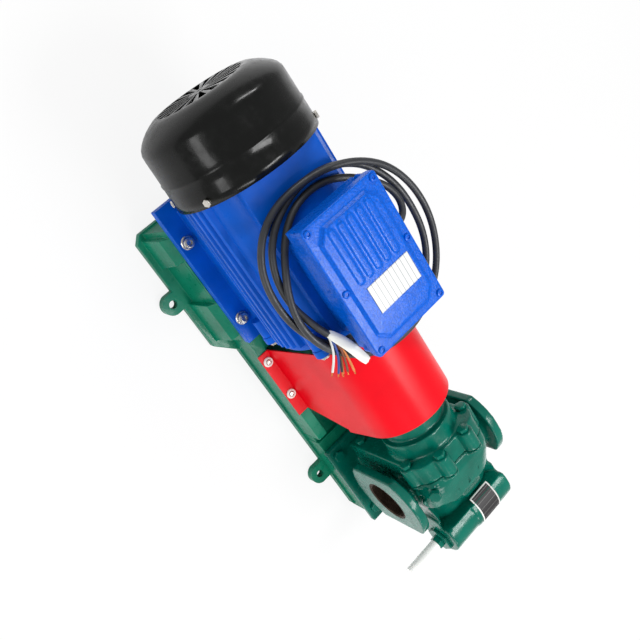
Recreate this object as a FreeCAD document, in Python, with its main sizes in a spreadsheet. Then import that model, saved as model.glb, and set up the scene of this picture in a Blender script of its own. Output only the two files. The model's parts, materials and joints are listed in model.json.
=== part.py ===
import FreeCAD, Part
import math
import os
import types

import Sketcher

# Motor-driven gear pump on a cast bed.
# X runs along the shaft from the fan to the pump, Y across, Z up.
# The origin lies on the floor, midway between the two wide fixing lugs.
# All sizes are millimetres.

DRIVING_SIZES = {
    # Bed
    "bed_rear_x": -115, "bed_step_x": 95, "bed_neck_x": 128, "bed_front_x": 515,
    "bed_wide_half": 127, "bed_wide_top_half": 114, "bed_narrow_half": 108, "bed_ledge_wide": 14,
    "bed_ledge_narrow": 3, "bed_ledge_thick": 14, "bed_wall": 9, "bed_deck": 12,
    "bed_nose_cut": 16, "motor_seat_z": 78, "guard_seat_z": 68, "pump_seat_z": 50,
    "rail_end_x": 322, "rail_inner_half": 90, "valley_z": 42, "pump_pad_x": 336,
    "buttress_rear": 53, "buttress_front": 76, "buttress_reach": 12, "buttress_top": 66,
    "wide_lug_y": 152, "front_lug_x": 404, "front_lug_y": 127, "lug_hole_radius": 6.5,
    "lug_radius": 17,
    # Motor frame
    "motor_x": -11, "motor_height": 112, "foot_pitch_x": 140, "foot_pitch_y": 200,
    "foot_half_width": 114, "foot_thick": 15, "foot_inner_half": 72, "foot_rear": 132,
    "foot_front": 109, "frame_rear": 129, "frame_front": 108, "frame_bore": 77,
    "frame_radius": 99, "fin_radius": 106, "fin_spread": 46, "deck_height": 84,
    "deck_half_width": 66, "foot_bolt_radius": 5, "bolt_play": 0.5,
    # Motor shields, shaft and windings
    "front_shield_thick": 27, "rear_shield_thick": 18, "shaft_radius": 14,
    "journal_radius": 15, "shaft_stub_start": 140, "shaft_stub_length": 60,
    "bearing_radius": 36, "bearing_width": 19, "bearing_race": 5, "seal_play": 0.3,
    "core_length": 150, "air_gap": 0.5, "rotor_radius": 46, "winding_length": 24,
    "ear_reach": 114, "ear_radius": 12, "ear_bolt_radius": 4, "fan_radius": 90,
    "fan_depth": 28, "fan_bore": 11,
    # Fan cover
    "cover_length": 112, "cover_overlap": 3, "cover_end_radius": 71.5, "cover_rim_radius": 107.7,
    "cover_seam_radius": 108.9, "cover_radius": 110.3, "cover_rim_drop": 28,
    "cover_seam_drop": 73, "cover_wall": 2.5, "grille_inner": 16,
    # Terminal box
    "box_x": 22.5, "box_length": 185, "box_half_width": 59, "neck_length": 144,
    "neck_half_width": 53, "neck_height": 31, "box_height": 37, "box_wall": 5,
    "lid_length": 197, "lid_half_width": 65, "lid_height": 12.6, "lid_panel_rise": 4,
    "lid_screw_inset": 8, "rib_pitch": 16, "gland_x": 30, "gland_z": 290,
    # Shaft coupling
    "coupling_radius": 46, "coupling_hub": 44, "jaw_length": 16, "jaw_inner": 22,
    "jaw_angle": 38, "jaw_play_angle": 0.6, "key_width": 8, "key_height": 7, "key_length": 34,
    # Guard
    "guard_rear_x": 136, "guard_front_x": 303, "guard_foot_end": 259, "guard_sheet": 2,
    "guard_radius": 76, "guard_arch_z": 194, "guard_fold_half": 92, "guard_edge_half": 111,
    "guard_slant": 38, "guard_screw_x": 152.5, "guard_screw_pitch": 68,
    "guard_screw_half": 101, "small_screw_radius": 3,
    # Pump casing
    "port_x": 439, "gear_width": 68, "case_half_width": 70, "case_top": 66, "case_bottom": 58,
    "case_corner": 32, "gasket": 0.5, "front_cover_thick": 34, "rear_cover_thick": 50,
    "rear_flange_thick": 24, "rear_inset_half": 45, "collar_radius": 60, "collar_thick": 30,
    "neck_radius": 50, "neck_thick": 22, "pump_foot_half": 112, "pump_foot_thick": 12,
    "pump_foot_start": 355, "pump_foot_end": 523, "pump_bolt_half": 96,
    "pump_bolt_rear_inset": 18, "pump_bolt_front_inset": 23, "pump_foot_play": 0.5,
    # Ports
    "port_face": 103, "flange_radius": 76, "flange_thick": 15, "flange_flat": 58,
    "port_root_radius": 31, "port_neck_radius": 58, "port_thread_radius": 36.1,
    "port_thread_depth": 26, "port_passage_radius": 27,
    # Gears, shafts and seals
    "gear_module": 5, "tooth_play": 0.15, "gear_side_play": 0.1, "gear_tip_play": 0.1,
    "pump_shaft_radius": 12.5, "running_play": 0.04, "bush_wall": 5, "bush_length": 28,
    "packing_bore": 21, "packing_start": 14, "packing_length": 22, "gland_flange_radius": 38,
    "gland_flange_thick": 10, "gland_gap": 9, "gland_stud_half": 29, "gland_stud_radius": 4,
    # Cover bolts, pins and the plug
    "cover_bolt_radius": 5, "top_bolt_half": 28, "top_bolt_rise": 71, "side_bolt_half": 66,
    "side_bolt_rise": 30, "low_bolt_half": 56, "low_bolt_drop": 34, "boss_radius": 13,
    "bolt_reach": 22, "pin_radius": 4, "pin_rise": 56, "pin_drop": 49, "plug_x": 421,
    "plug_radius": 6,
    # Relief valve
    "valve_x": 556, "valve_z": 177, "valve_radius": 30, "valve_wide_radius": 33,
    "valve_half_length": 70, "valve_step_y": 8, "valve_bore": 17, "valve_seat_y": 40,
    "valve_seat_radius": 9, "poppet_length": 16, "poppet_radius": 16, "valve_port_half": 52,
    "valve_port_radius": 6, "spring_wire": 1.6, "spring_radius": 12, "disc_y": -22,
    "disc_thick": 5, "bonnet_thick": 5, "bonnet_depth": 12, "bonnet_radius": 24,
    "screw_radius": 6.5, "screw_end_y": -138, "sleeve_radius": 9.5, "sleeve_length": 64,
    "sleeve_wall": 2, "lock_nut_thick": 9, "screw_play": 0.05,
    # Cord
    "cord_radius": 5, "coil_x": 24, "coil_y": 15, "coil_radius": 124, "coil_band": 23,
    "coil_z": 274.3, "coil_height": 18, "coil_play": 0.4,
}
FIN_COUNT = 6
EAR_ANGLES = (39, 141, 219, 321)
COVER_SCREW_ANGLES = (30, 150, 210, 330)
GRILLE_COUNT = 20
FAN_BLADES = 7
RIB_COUNT = 5
TEETH = 14
PRESSURE_ANGLE = math.radians(20)
PACKING_RINGS = 3
SPRING_TURNS = 6

doc = FreeCAD.newDocument("gear_pump_set")
sheet = doc.addObject("Spreadsheet::Sheet", "Sizes")
for row, (alias, number) in enumerate(DRIVING_SIZES.items(), start=1):
    sheet.set("A%d" % row, alias)
    sheet.set("B%d" % row, str(number))
    sheet.setAlias("B%d" % row, alias)
doc.recompute()


class Size:
    """A dimension that carries its value and the sheet formula behind it."""

    def __init__(self, value, formula):
        self.value = float(value)
        self.formula = formula

    def __float__(self):
        return self.value

    def __add__(self, other):
        return combine(self, "+", other, self.value + float(other))

    def __radd__(self, other):
        return combine(other, "+", self, float(other) + self.value)

    def __sub__(self, other):
        return combine(self, "-", other, self.value - float(other))

    def __rsub__(self, other):
        return combine(other, "-", self, float(other) - self.value)

    def __mul__(self, other):
        return combine(self, "*", other, self.value * float(other))

    def __rmul__(self, other):
        return combine(other, "*", self, float(other) * self.value)

    def __truediv__(self, other):
        return combine(self, "/", other, self.value / float(other))

    def __neg__(self):
        return combine(0, "-", self, -self.value)


def formula_of(value):
    return value.formula if isinstance(value, Size) else "%.9g" % float(value)


def combine(left, sign, right, value):
    return Size(value, "(%s %s %s)" % (formula_of(left), sign, formula_of(right)))


s = types.SimpleNamespace(
    **{alias: Size(sheet.get(alias), "Sizes." + alias) for alias in DRIVING_SIZES}
)

# Places worked out from the driving sizes
axis_z = s.motor_seat_z + s.motor_height
gear_centres = s.gear_module * TEETH
driven_z = axis_z - gear_centres
port_z = axis_z - gear_centres / 2
frame_start = s.motor_x - s.frame_rear
frame_end = s.motor_x + s.frame_front
shield_front = frame_end + s.front_shield_thick
shield_rear = frame_start - s.rear_shield_thick
cover_front = frame_start + s.cover_overlap
cover_rear = cover_front - s.cover_length
cover_screw_x = frame_start - 4.5
deck_z = axis_z + s.deck_height
box_z = deck_z + s.neck_height
lid_z = box_z + s.box_height
lid_top = lid_z + s.lid_height
shaft_end = s.motor_x + s.shaft_stub_start + s.shaft_stub_length
jaw_start = shaft_end + 1
jaw_end = jaw_start + s.jaw_length
case_start = s.port_x - s.gear_width / 2
case_end = s.port_x + s.gear_width / 2
cover_back = case_start - s.gasket
cover_face = cover_back - s.front_cover_thick
collar_face = cover_face - s.collar_thick
neck_face = collar_face - s.neck_thick
rear_face = case_end + s.gasket
rear_seat = rear_face + s.rear_flange_thick
rear_end = rear_face + s.rear_cover_thick
bush_radius = s.pump_shaft_radius + s.bush_wall
chamber_radius = s.gear_module * (TEETH + 2) / 2 + s.gear_tip_play
foot_top = s.pump_seat_z + s.pump_foot_thick
case_floor = driven_z - s.case_bottom

UP = FreeCAD.Vector(0, 0, 1)
FORWARD = FreeCAD.Vector(1, 0, 0)
TURN = {
    "x": FreeCAD.Rotation(FreeCAD.Vector(0, 1, 0), 90),
    "y": FreeCAD.Rotation(FORWARD, -90),
    "z": FreeCAD.Rotation(),
}
nodes = {}
made = {}


def fresh(name):
    """Give each document object a name of its own."""
    made[name] = made.get(name, 0) + 1
    return name if made[name] == 1 else "%s_%d" % (name, made[name])


def bind(item, prop, value):
    if isinstance(value, Size):
        item.setExpression(prop, value.formula)
    else:
        setattr(item, prop, value)


def place(item, at, turn=FreeCAD.Rotation()):
    item.Placement = FreeCAD.Placement(FreeCAD.Vector(*[float(v) for v in at]), turn)
    for letter, value in zip("xyz", at):
        if isinstance(value, Size):
            item.setExpression("Placement.Base." + letter, value.formula)
    return item


def along(axis, start, across):
    """A point from its place along an axis and its two other coordinates in XYZ order."""
    first, second = across
    return {"x": (start, first, second), "y": (first, start, second),
            "z": (first, second, start)}[axis]


def span(half):
    return (-half, half)


def box(name, x, y, z):
    item = doc.addObject("Part::Box", fresh(name))
    bind(item, "Length", x[1] - x[0])
    bind(item, "Width", y[1] - y[0])
    bind(item, "Height", z[1] - z[0])
    return place(item, (x[0], y[0], z[0]))


def rod(name, axis, start, end, radius, across, sweep=None, turn=0):
    """A cylinder, or a sector of one where a sweep is given, turned about its own axis."""
    item = doc.addObject("Part::Cylinder", fresh(name))
    bind(item, "Radius", radius)
    bind(item, "Height", end - start)
    if sweep is not None:
        bind(item, "Angle", sweep)
    spin = FreeCAD.Rotation(UP, float(turn))
    return place(item, along(axis, start, across), TURN[axis].multiply(spin))


def ring(name, axis, start, end, radius, hole, across, sweep=None, turn=0):
    """A cylinder with a round hole through it."""
    outer = rod(name + "_outer", axis, start, end, radius, across, sweep, turn)
    inner = rod(name + "_hole", axis, start - 1, end + 1, hole, across)
    return cut(name, outer, [inner])


def shaft_sector(name, start, end, radius, hole, angle, sweep):
    """A piece of a ring about the main shaft, centred on an angle from +Y towards +Z."""
    return ring(name, "x", start, end, radius, hole, (0, axis_z), sweep,
                angle + 90 - float(sweep) / 2)


def cone(name, axis, start, end, radius, end_radius, across):
    item = doc.addObject("Part::Cone", fresh(name))
    bind(item, "Radius1", radius)
    bind(item, "Radius2", end_radius)
    bind(item, "Height", end - start)
    return place(item, along(axis, start, across), TURN[axis])


def hexagon(name, axis, start, end, corner_radius, across):
    item = doc.addObject("Part::Prism", fresh(name))
    item.Polygon = 6
    bind(item, "Circumradius", corner_radius)
    bind(item, "Height", end - start)
    return place(item, along(axis, start, across), TURN[axis])


def tapered(name, low_x, low_half, top_x, top_half, z):
    """A block about Y=0 whose foot and top are different rectangles."""
    item = doc.addObject("Part::Wedge", fresh(name))
    values = {"Xmin": low_x[0], "Xmax": low_x[1], "X2min": top_x[0], "X2max": top_x[1],
              "Zmin": -low_half, "Zmax": low_half, "Z2min": -top_half, "Z2max": top_half,
              "Ymin": z[0], "Ymax": z[1]}
    for prop, value in values.items():
        setattr(item, prop, float(value))
        bind(item, prop, value)
    item.Placement = FreeCAD.Placement(FreeCAD.Vector(), FreeCAD.Rotation(FORWARD, 90))
    return item


def polar(reach, angle):
    """A (y, z) place at an angle from the +Y direction about the main shaft."""
    turn = math.radians(angle)
    return reach * math.cos(turn), axis_z + reach * math.sin(turn)


def spoke(name, item_type, at_x, start, length, radius, angle):
    """A cylinder or prism that stands out radially from the main shaft."""
    item = doc.addObject(item_type, fresh(name))
    if item_type == "Part::Prism":
        item.Polygon = 6
        bind(item, "Circumradius", radius)
    else:
        bind(item, "Radius", radius)
    bind(item, "Height", length)
    turn = math.radians(angle)
    aim = FreeCAD.Rotation(UP, FreeCAD.Vector(0, math.cos(turn), math.sin(turn)))
    y, z = polar(start, angle)
    return place(item, (at_x, y, z), aim)


def radial_box(name, start, end, inner, outer, half, angle):
    """A flat block that stands on the main shaft's round, pointing out at an angle."""
    item = doc.addObject("Part::Box", fresh(name))
    bind(item, "Length", end - start)
    bind(item, "Width", half * 2)
    bind(item, "Height", outer - inner)
    turn = math.radians(angle)
    y = inner * math.cos(turn) - half * math.sin(turn)
    z = axis_z + inner * math.sin(turn) + half * math.cos(turn)
    return place(item, (start, y, z), FreeCAD.Rotation(FORWARD, angle - 90))


def join(name, parts):
    item = doc.addObject("Part::MultiFuse", fresh(name))
    item.Shapes = parts
    item.Refine = True
    return item


def cut(name, base, tools):
    tool = tools[0] if len(tools) == 1 else join(name + "_tools", tools)
    item = doc.addObject("Part::Cut", fresh(name))
    item.Base = base
    item.Tool = tool
    item.Refine = True
    return item


def meet(name, base, tool):
    item = doc.addObject("Part::Common", fresh(name))
    item.Base = base
    item.Tool = tool
    return item


def group(name, parts):
    item = doc.addObject("Part::Compound", fresh(name))
    item.Links = parts
    return item


def node(label, item):
    item.Label = label
    nodes[label] = item
    return item


def own_shape(label, shape):
    item = doc.addObject("Part::Feature", fresh(label))
    item.Shape = shape
    return node(label, item)


def origin_plane(body, role):
    return next(part for part in body.Origin.OriginFeatures if part.Role == role)


def add_distance(sketch, index, value, kind):
    number = sketch.addConstraint(Sketcher.Constraint(kind, -1, 1, index, 1, float(value)))
    if isinstance(value, Size):
        sketch.setExpression("Constraints[%d]" % number, value.formula)


def draw_outline(sketch, outline):
    """Draw a closed outline. A corner (u, v) is reached by a line; a corner (u, v, radius)
    is reached by an arc whose centre lies on the left of its chord."""
    count = len(outline)
    corners = [FreeCAD.Vector(float(c[0]), float(c[1]), 0) for c in outline]
    for index in range(count):
        here, there = corners[index], corners[(index + 1) % count]
        target = outline[(index + 1) % count]
        if len(target) == 2:
            sketch.addGeometry(Part.LineSegment(here, there))
            continue
        radius = float(target[2])
        chord = there - here
        normal = FreeCAD.Vector(-chord.y, chord.x, 0).normalize()
        rise = math.sqrt(max(radius ** 2 - chord.Length ** 2 / 4, 0))
        centre = (here + there) * 0.5 + normal * rise
        angles = [math.atan2(p.y - centre.y, p.x - centre.x) for p in (here, there)]
        sketch.addGeometry(Part.ArcOfCircle(Part.Circle(centre, UP, radius), *angles))
    for index in range(count):
        sketch.addConstraint(
            Sketcher.Constraint("Coincident", index, 2, (index + 1) % count, 1))
    for index in range(count):
        target = outline[(index + 1) % count]
        if len(target) == 3:
            number = sketch.addConstraint(
                Sketcher.Constraint("Radius", index, float(target[2])))
            if isinstance(target[2], Size):
                sketch.setExpression("Constraints[%d]" % number, target[2].formula)
        add_distance(sketch, index, outline[index][0], "DistanceX")
        add_distance(sketch, index, outline[index][1], "DistanceY")


def new_sketch(body, name, role, offset=0):
    sketch = body.newObject("Sketcher::SketchObject", fresh(name))
    sketch.AttachmentSupport = [(origin_plane(body, role), "")]
    sketch.MapMode = "FlatFace"
    if isinstance(offset, Size):
        sketch.setExpression("AttachmentOffset.Base.z", offset.formula)
    return sketch


def turned(name, outline, at):
    """A body revolved about an axis along X from an outline of (along, radius) corners."""
    body = doc.addObject("PartDesign::Body", fresh(name))
    sketch = new_sketch(body, name + "_outline", "XZ_Plane")
    draw_outline(sketch, outline)
    feature = body.newObject("PartDesign::Revolution", fresh(name + "_turned"))
    feature.Profile = sketch
    feature.ReferenceAxis = (sketch, ["H_Axis"])
    feature.Angle = 360
    body.Tip = feature
    return place(body, at)


def profiled(name, outline, start, length, at=(0, 0, 0), role="YZ_Plane"):
    """A body padded from a closed outline: along X from (y, z), or up from (x, y)."""
    body = doc.addObject("PartDesign::Body", fresh(name))
    sketch = new_sketch(body, name + "_section", role, start)
    draw_outline(sketch, outline)
    feature = body.newObject("PartDesign::Pad", fresh(name + "_pad"))
    feature.Profile = sketch
    bind(feature, "Length", length)
    body.Tip = feature
    return place(body, at)


def bolt(name, axis, seat, across, outward, radius, length):
    """A hexagon bolt whose head stands on the seat and whose shank runs the other way."""
    height = radius * 1.3
    head_span = (seat, seat + height) if outward > 0 else (seat - height, seat)
    shank_span = (seat - length, seat) if outward > 0 else (seat, seat + length)
    head = hexagon(name + "_head", axis, head_span[0], head_span[1], radius * 1.95, across)
    shank = rod(name + "_shank", axis, shank_span[0], shank_span[1], radius, across)
    return join(name, [head, shank])


# Bed


def lug(x, y):
    """A fixing ear with its web back to the ledge."""
    side = 1 if float(y) > 0 else -1
    ear = rod("lug_ear", "z", 0, s.bed_ledge_thick, s.lug_radius, (x, y))
    inner = y - side * (s.lug_radius + 8)
    across = (inner, y) if side > 0 else (y, inner)
    web = box("lug_web", (x - s.lug_radius, x + s.lug_radius), across, (0, s.bed_ledge_thick))
    return [ear, web]


def lug_places():
    return [(x, side * y) for side in (-1, 1)
            for x, y in ((0, s.wide_lug_y), (s.front_lug_x, s.front_lug_y))]


def motor_bolt_places():
    return [(s.motor_x + end * s.foot_pitch_x / 2, side * s.foot_pitch_y / 2)
            for side in (-1, 1) for end in (-1, 1)]


def guard_screw_places():
    return [(s.guard_screw_x + step * s.guard_screw_pitch, side * s.guard_screw_half)
            for side in (-1, 1) for step in (0, 1)]


def pump_bolt_places():
    rear = s.pump_foot_start + s.pump_bolt_rear_inset
    front = s.pump_foot_end - s.pump_bolt_front_inset
    return [(x, side * s.pump_bolt_half) for side in (-1, 1) for x in (rear, front)]


def make_bed():
    wide = s.bed_wide_half + s.bed_ledge_wide
    narrow = s.bed_narrow_half + s.bed_ledge_narrow
    nose = s.bed_front_x - s.bed_nose_cut
    right = [(s.bed_rear_x + 12, -wide), (s.bed_step_x, -wide), (s.bed_neck_x, -narrow),
             (nose, -narrow), (s.bed_front_x, s.bed_nose_cut - narrow)]
    outline = right + [(x, -y) for x, y in reversed(right)]
    outline += [(s.bed_rear_x, wide - 12), (s.bed_rear_x, 12 - wide)]
    plate = profiled("bed_plate", outline, 0, s.bed_ledge_thick, role="XY_Plane")
    top = s.motor_seat_z
    block = tapered("bed_block", (s.bed_rear_x + 2, s.bed_step_x), s.bed_wide_half,
                    (s.bed_rear_x + 5, s.bed_step_x), s.bed_wide_top_half, (0, top))
    shoulder = tapered("bed_shoulder", (s.bed_step_x - 2, s.bed_neck_x + 4),
                       s.bed_narrow_half + 2, (s.bed_step_x - 2, s.bed_step_x + 8),
                       s.bed_narrow_half - 1, (0, top))
    front_end = s.bed_front_x - 6
    rails = box("bed_rails", (s.bed_step_x - 1, s.rail_end_x), span(s.bed_narrow_half),
                (0, s.guard_seat_z))
    valley = box("bed_valley", (s.rail_end_x - 1, s.pump_pad_x), span(s.bed_narrow_half - 1),
                 (0, s.valley_z))
    pad = box("pump_pad", (s.pump_pad_x, front_end), span(s.bed_narrow_half),
              (0, s.pump_seat_z))
    solids = [plate, block, shoulder, rails, valley, pad]
    out = s.bed_wide_top_half + s.buttress_reach
    for start, length in ((s.bed_rear_x + 10, s.buttress_rear),
                          (s.bed_step_x - 4 - s.buttress_front, s.buttress_front)):
        end = start + length
        solids.append(tapered("buttress", (start, end), s.bed_wide_half + 7,
                              (start + 4, end - 4), out, (0, s.buttress_top)))
        solids.append(tapered("buttress_cap", (start + 4, end - 4), out, (start + 7, end - 7),
                              s.bed_wide_top_half, (s.buttress_top, top - 1)))
    for x, y in lug_places():
        solids += lug(x, y)

    wall = s.bed_wall
    roof = top - s.bed_deck
    low_roof = s.valley_z - s.bed_deck
    half = s.bed_narrow_half - wall
    hollow_x = (s.bed_rear_x + 5 + wall, s.bed_step_x - wall)
    tools = [
        tapered("bed_hollow", hollow_x, s.bed_wide_half - wall - 2, hollow_x,
                s.bed_wide_top_half - wall - 2, (-1, roof)),
        box("bed_hollow_mid", (s.bed_step_x, s.rail_end_x - wall), span(half), (-1, low_roof)),
        box("bed_hollow_front", (s.rail_end_x, front_end - wall), span(half), (-1, low_roof)),
        box("rail_channel", (s.bed_neck_x + 6, s.rail_end_x + 1), span(s.rail_inner_half),
            (s.valley_z, s.guard_seat_z + 1)),
    ]
    for x, y in lug_places():
        tools.append(rod("lug_hole", "z", -1, s.bed_ledge_thick + 1, s.lug_hole_radius, (x, y)))
    for across in motor_bolt_places():
        tools.append(rod("motor_bolt_hole", "z", roof - 1, top + 1, s.foot_bolt_radius, across))
    for across in guard_screw_places():
        tools.append(rod("guard_screw_hole", "z", s.guard_seat_z - 12, s.guard_seat_z + 1,
                         s.small_screw_radius, across))
    for across in pump_bolt_places():
        tools.append(rod("pump_bolt_hole", "z", s.pump_seat_z - 20, s.pump_seat_z + 1,
                         s.foot_bolt_radius, across))
    node("base_frame", cut("base_frame", join("bed_solid", solids), tools))


# Motor


def frame_outline():
    """Round belly, saw-tooth fins, smooth shoulders and a flat deck, about the shaft."""
    spread = float(s.fin_spread)
    pitch = spread / FIN_COUNT
    right = []
    for index in range(FIN_COUNT):
        low = index * pitch - spread / 2
        for radius, angle in ((s.frame_radius, low), (s.fin_radius, low + pitch * 0.3),
                              (s.fin_radius, low + pitch * 0.7)):
            turn = math.radians(angle)
            right.append((radius * math.cos(turn), radius * math.sin(turn)))
    turn = math.radians(spread / 2)
    right += [
        (s.frame_radius * math.cos(turn), s.frame_radius * math.sin(turn)),
        (s.deck_half_width + 20, s.deck_height - 29), (s.deck_half_width + 4, s.deck_height - 13),
        (s.deck_half_width, s.deck_height - 10), (s.deck_half_width, s.deck_height),
    ]
    left = [(-y, z) for y, z in reversed(right)]
    first = right[0] + (s.frame_radius,)
    return [first] + right[1:] + left


def make_motor_frame():
    barrel = profiled("frame_barrel", frame_outline(), frame_start, frame_end - frame_start,
                      (0, 0, axis_z))
    foot_z = s.foot_thick - s.motor_height
    solids = [barrel]
    tools = [rod("frame_bore_tool", "x", frame_start - 1, frame_end + 1, s.frame_bore, (0, axis_z))]
    for side in (-1, 1):
        edges = sorted([side * s.foot_inner_half, side * s.foot_half_width], key=float)
        solids.append(box("motor_foot", (s.motor_x - s.foot_rear, s.motor_x + s.foot_front),
                          edges, (s.motor_seat_z, s.motor_seat_z + s.foot_thick)))
        web = [(s.foot_inner_half, foot_z - 1), (s.foot_inner_half + 14, foot_z - 1),
               (s.frame_radius - 8, -38), (s.frame_radius - 30, -58)]
        if side < 0:
            web = [(-y, z) for y, z in reversed(web)]
        solids.append(profiled("foot_web", web, frame_start + 14,
                               frame_end - frame_start - 24, (0, 0, axis_z)))
    for angle in EAR_ANGLES:
        solids.append(rod("frame_ear", "x", frame_end - 30, frame_end, s.ear_radius - 1,
                          polar(s.ear_reach, angle)))
        solids.append(radial_box("frame_ear_web", frame_end - 30, frame_end, s.frame_bore + 3,
                                 s.ear_reach, s.ear_radius - 2, angle))
        tools.append(rod("ear_hole", "x", frame_end - 20, frame_end + 1, s.ear_bolt_radius,
                         polar(s.ear_reach, angle)))
    for across in motor_bolt_places():
        tools.append(rod("foot_hole", "z", s.motor_seat_z - 1, s.motor_seat_z + s.foot_thick + 1,
                         s.foot_bolt_radius + s.bolt_play, across))
    node("motor_frame", cut("motor_frame", join("frame_solid", solids), tools))


def make_shields():
    seat = s.bearing_radius
    lip = s.journal_radius + 0.5
    bearing_end = shield_front - 2
    bearing_start = bearing_end - s.bearing_width
    spigot = s.frame_bore
    front = turned("front_shield_disc", [
        (frame_end - 6, spigot - 6), (frame_end, spigot - 6), (bearing_end - 11, 58),
        (bearing_end - 10, seat + 8), (bearing_start, seat + 6), (bearing_start, seat),
        (bearing_end, seat), (bearing_end, lip), (shield_front + 5, lip),
        (shield_front + 5, seat + 8), (shield_front, seat + 14), (frame_end + 9, s.frame_radius),
        (frame_end, s.frame_radius), (frame_end, spigot), (frame_end - 6, spigot),
    ], (0, 0, axis_z))
    solids = [front]
    tools = []
    bolts = []
    for angle in EAR_ANGLES:
        across = polar(s.ear_reach, angle)
        solids.append(rod("shield_ear", "x", frame_end, frame_end + 12, s.ear_radius, across))
        solids.append(radial_box("shield_ear_web", frame_end, frame_end + 9, s.frame_bore + 3,
                                 s.ear_reach, s.ear_radius - 1, angle))
        tools.append(rod("shield_hole", "x", frame_end - 1, frame_end + 13,
                         s.ear_bolt_radius + s.bolt_play / 2, across))
        bolts.append(bolt("shield_bolt", "x", frame_end + 12, across, 1, s.ear_bolt_radius, 28))
    node("motor_front_shield", cut("motor_front_shield", join("shield_solid", solids), tools))
    node("shield_bolts", group("shield_bolts", bolts))
    seat_start = shield_rear + 2
    seat_end = seat_start + s.bearing_width
    rear = turned("rear_shield_disc", [
        (shield_rear, lip), (seat_start, lip), (seat_start, seat), (seat_end, seat),
        (seat_end, seat + 6), (frame_start - 6, seat + 9), (frame_start - 5, 58),
        (frame_start, spigot - 6), (frame_start + 6, spigot - 6), (frame_start + 6, spigot),
        (frame_start, spigot), (frame_start, s.frame_radius - 2),
        (frame_start - 9, s.frame_radius - 2), (shield_rear, seat + 16),
    ], (0, 0, axis_z))
    pads = []
    holes = []
    screws = []
    root = s.frame_bore + 4
    for angle in COVER_SCREW_ANGLES:
        pads.append(shaft_sector("cover_pad", frame_start - 9, frame_start,
                                 s.cover_radius - s.cover_wall, s.frame_radius - 4, angle, 14))
        holes.append(spoke("cover_screw_hole", "Part::Cylinder", cover_screw_x, root,
                           s.cover_radius - root, s.small_screw_radius, angle))
        shank = spoke("cover_screw_shank", "Part::Cylinder", cover_screw_x, root,
                      s.cover_radius - root, s.small_screw_radius, angle)
        head = spoke("cover_screw_head", "Part::Prism", cover_screw_x, s.cover_radius, 4,
                     s.small_screw_radius * 1.9, angle)
        screws.append(join("cover_screw", [shank, head]))
    node("motor_rear_shield", cut("motor_rear_shield", join("rear_solid", [rear] + pads), holes))
    node("fan_cover_screws", group("fan_cover_screws", screws))


def make_bearings():
    half = s.bearing_width / 2
    bore = s.journal_radius
    seal = bore + s.bearing_race + s.seal_play
    race = s.bearing_radius - s.bearing_race
    outer_rings = []
    inner_rings = []
    for centre in (shield_front - 2 - half, shield_rear + 2 + half):
        outer = [(-half, seal), (2 - half, seal), (2 - half, race), (half - 2, race),
                 (half - 2, seal), (half, seal), (half, s.bearing_radius),
                 (-half, s.bearing_radius)]
        inner = [(-half, bore), (half, bore), (half, bore + s.bearing_race),
                 (-half, bore + s.bearing_race)]
        outer_rings.append(turned("outer_ring", outer, (centre, 0, axis_z)))
        inner_rings.append(turned("inner_ring", inner, (centre, 0, axis_z)))
    node("bearing_outer_rings", group("bearing_outer_rings", outer_rings))
    node("bearing_inner_rings", group("bearing_inner_rings", inner_rings))


def key_box(name, start, shaft_radius):
    seat = axis_z + shaft_radius - s.key_height / 2 - 0.5
    return box(name, (start, start + s.key_length), span(s.key_width / 2),
               (seat, seat + s.key_height))


def motor_key(name):
    return key_box(name, shaft_end - s.key_length - 6, s.shaft_radius)


def pump_key(name):
    return key_box(name, jaw_end + 4, s.pump_shaft_radius)


def make_rotor():
    core_middle = s.motor_x - 10
    start = core_middle - s.core_length / 2
    end = core_middle + s.core_length / 2
    bore = s.rotor_radius + s.air_gap
    body = s.journal_radius + 4
    at = (0, 0, axis_z)
    node("stator_core", turned("stator_core", [
        (start, bore), (end, bore), (end, s.frame_bore), (start, s.frame_bore)], at))
    windings = []
    for low, high in ((start - s.winding_length, start), (end, end + s.winding_length)):
        windings.append(turned("winding_end", [
            (low, bore + 8), (high, bore + 8), (high, s.frame_bore - 9),
            (low, s.frame_bore - 9)], at))
    node("stator_windings", group("stator_windings", windings))
    node("rotor_core", turned("rotor_core", [
        (start, body), (end, body), (end, s.rotor_radius), (start, s.rotor_radius)], at))
    rear_tip = cover_rear + 22
    race_start = shield_rear + 2 + s.bearing_width
    race_end = shield_front - 2 - s.bearing_width
    shaft = turned("shaft_solid", [
        (rear_tip, 0), (shaft_end, 0), (shaft_end, s.shaft_radius),
        (shield_front + 5, s.shaft_radius), (shield_front + 5, s.journal_radius),
        (race_end, s.journal_radius), (race_end, body), (race_start, body),
        (race_start, s.journal_radius), (shield_rear - 4, s.journal_radius),
        (shield_rear - 4, s.fan_bore), (rear_tip, s.fan_bore)], at)
    node("rotor_shaft", cut("rotor_shaft", shaft, [motor_key("rotor_key_slot")]))
    node("motor_shaft_key", motor_key("motor_shaft_key"))


def make_fan():
    back = shield_rear - 17
    front = back - s.fan_depth
    hub = turned("fan_hub", [
        (front, s.fan_bore), (back, s.fan_bore), (back, s.fan_radius - 4),
        (back - 3, s.fan_radius - 4), (back - 3, s.fan_bore + 9), (front, s.fan_bore + 9)],
        (0, 0, axis_z))
    blades = [radial_box("fan_blade", front + 2, back - 1, s.fan_bore + 7, s.fan_radius, 1.5,
                         360.0 * index / FAN_BLADES + 90) for index in range(FAN_BLADES)]
    node("cooling_fan", join("cooling_fan", [hub] + blades))


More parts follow.
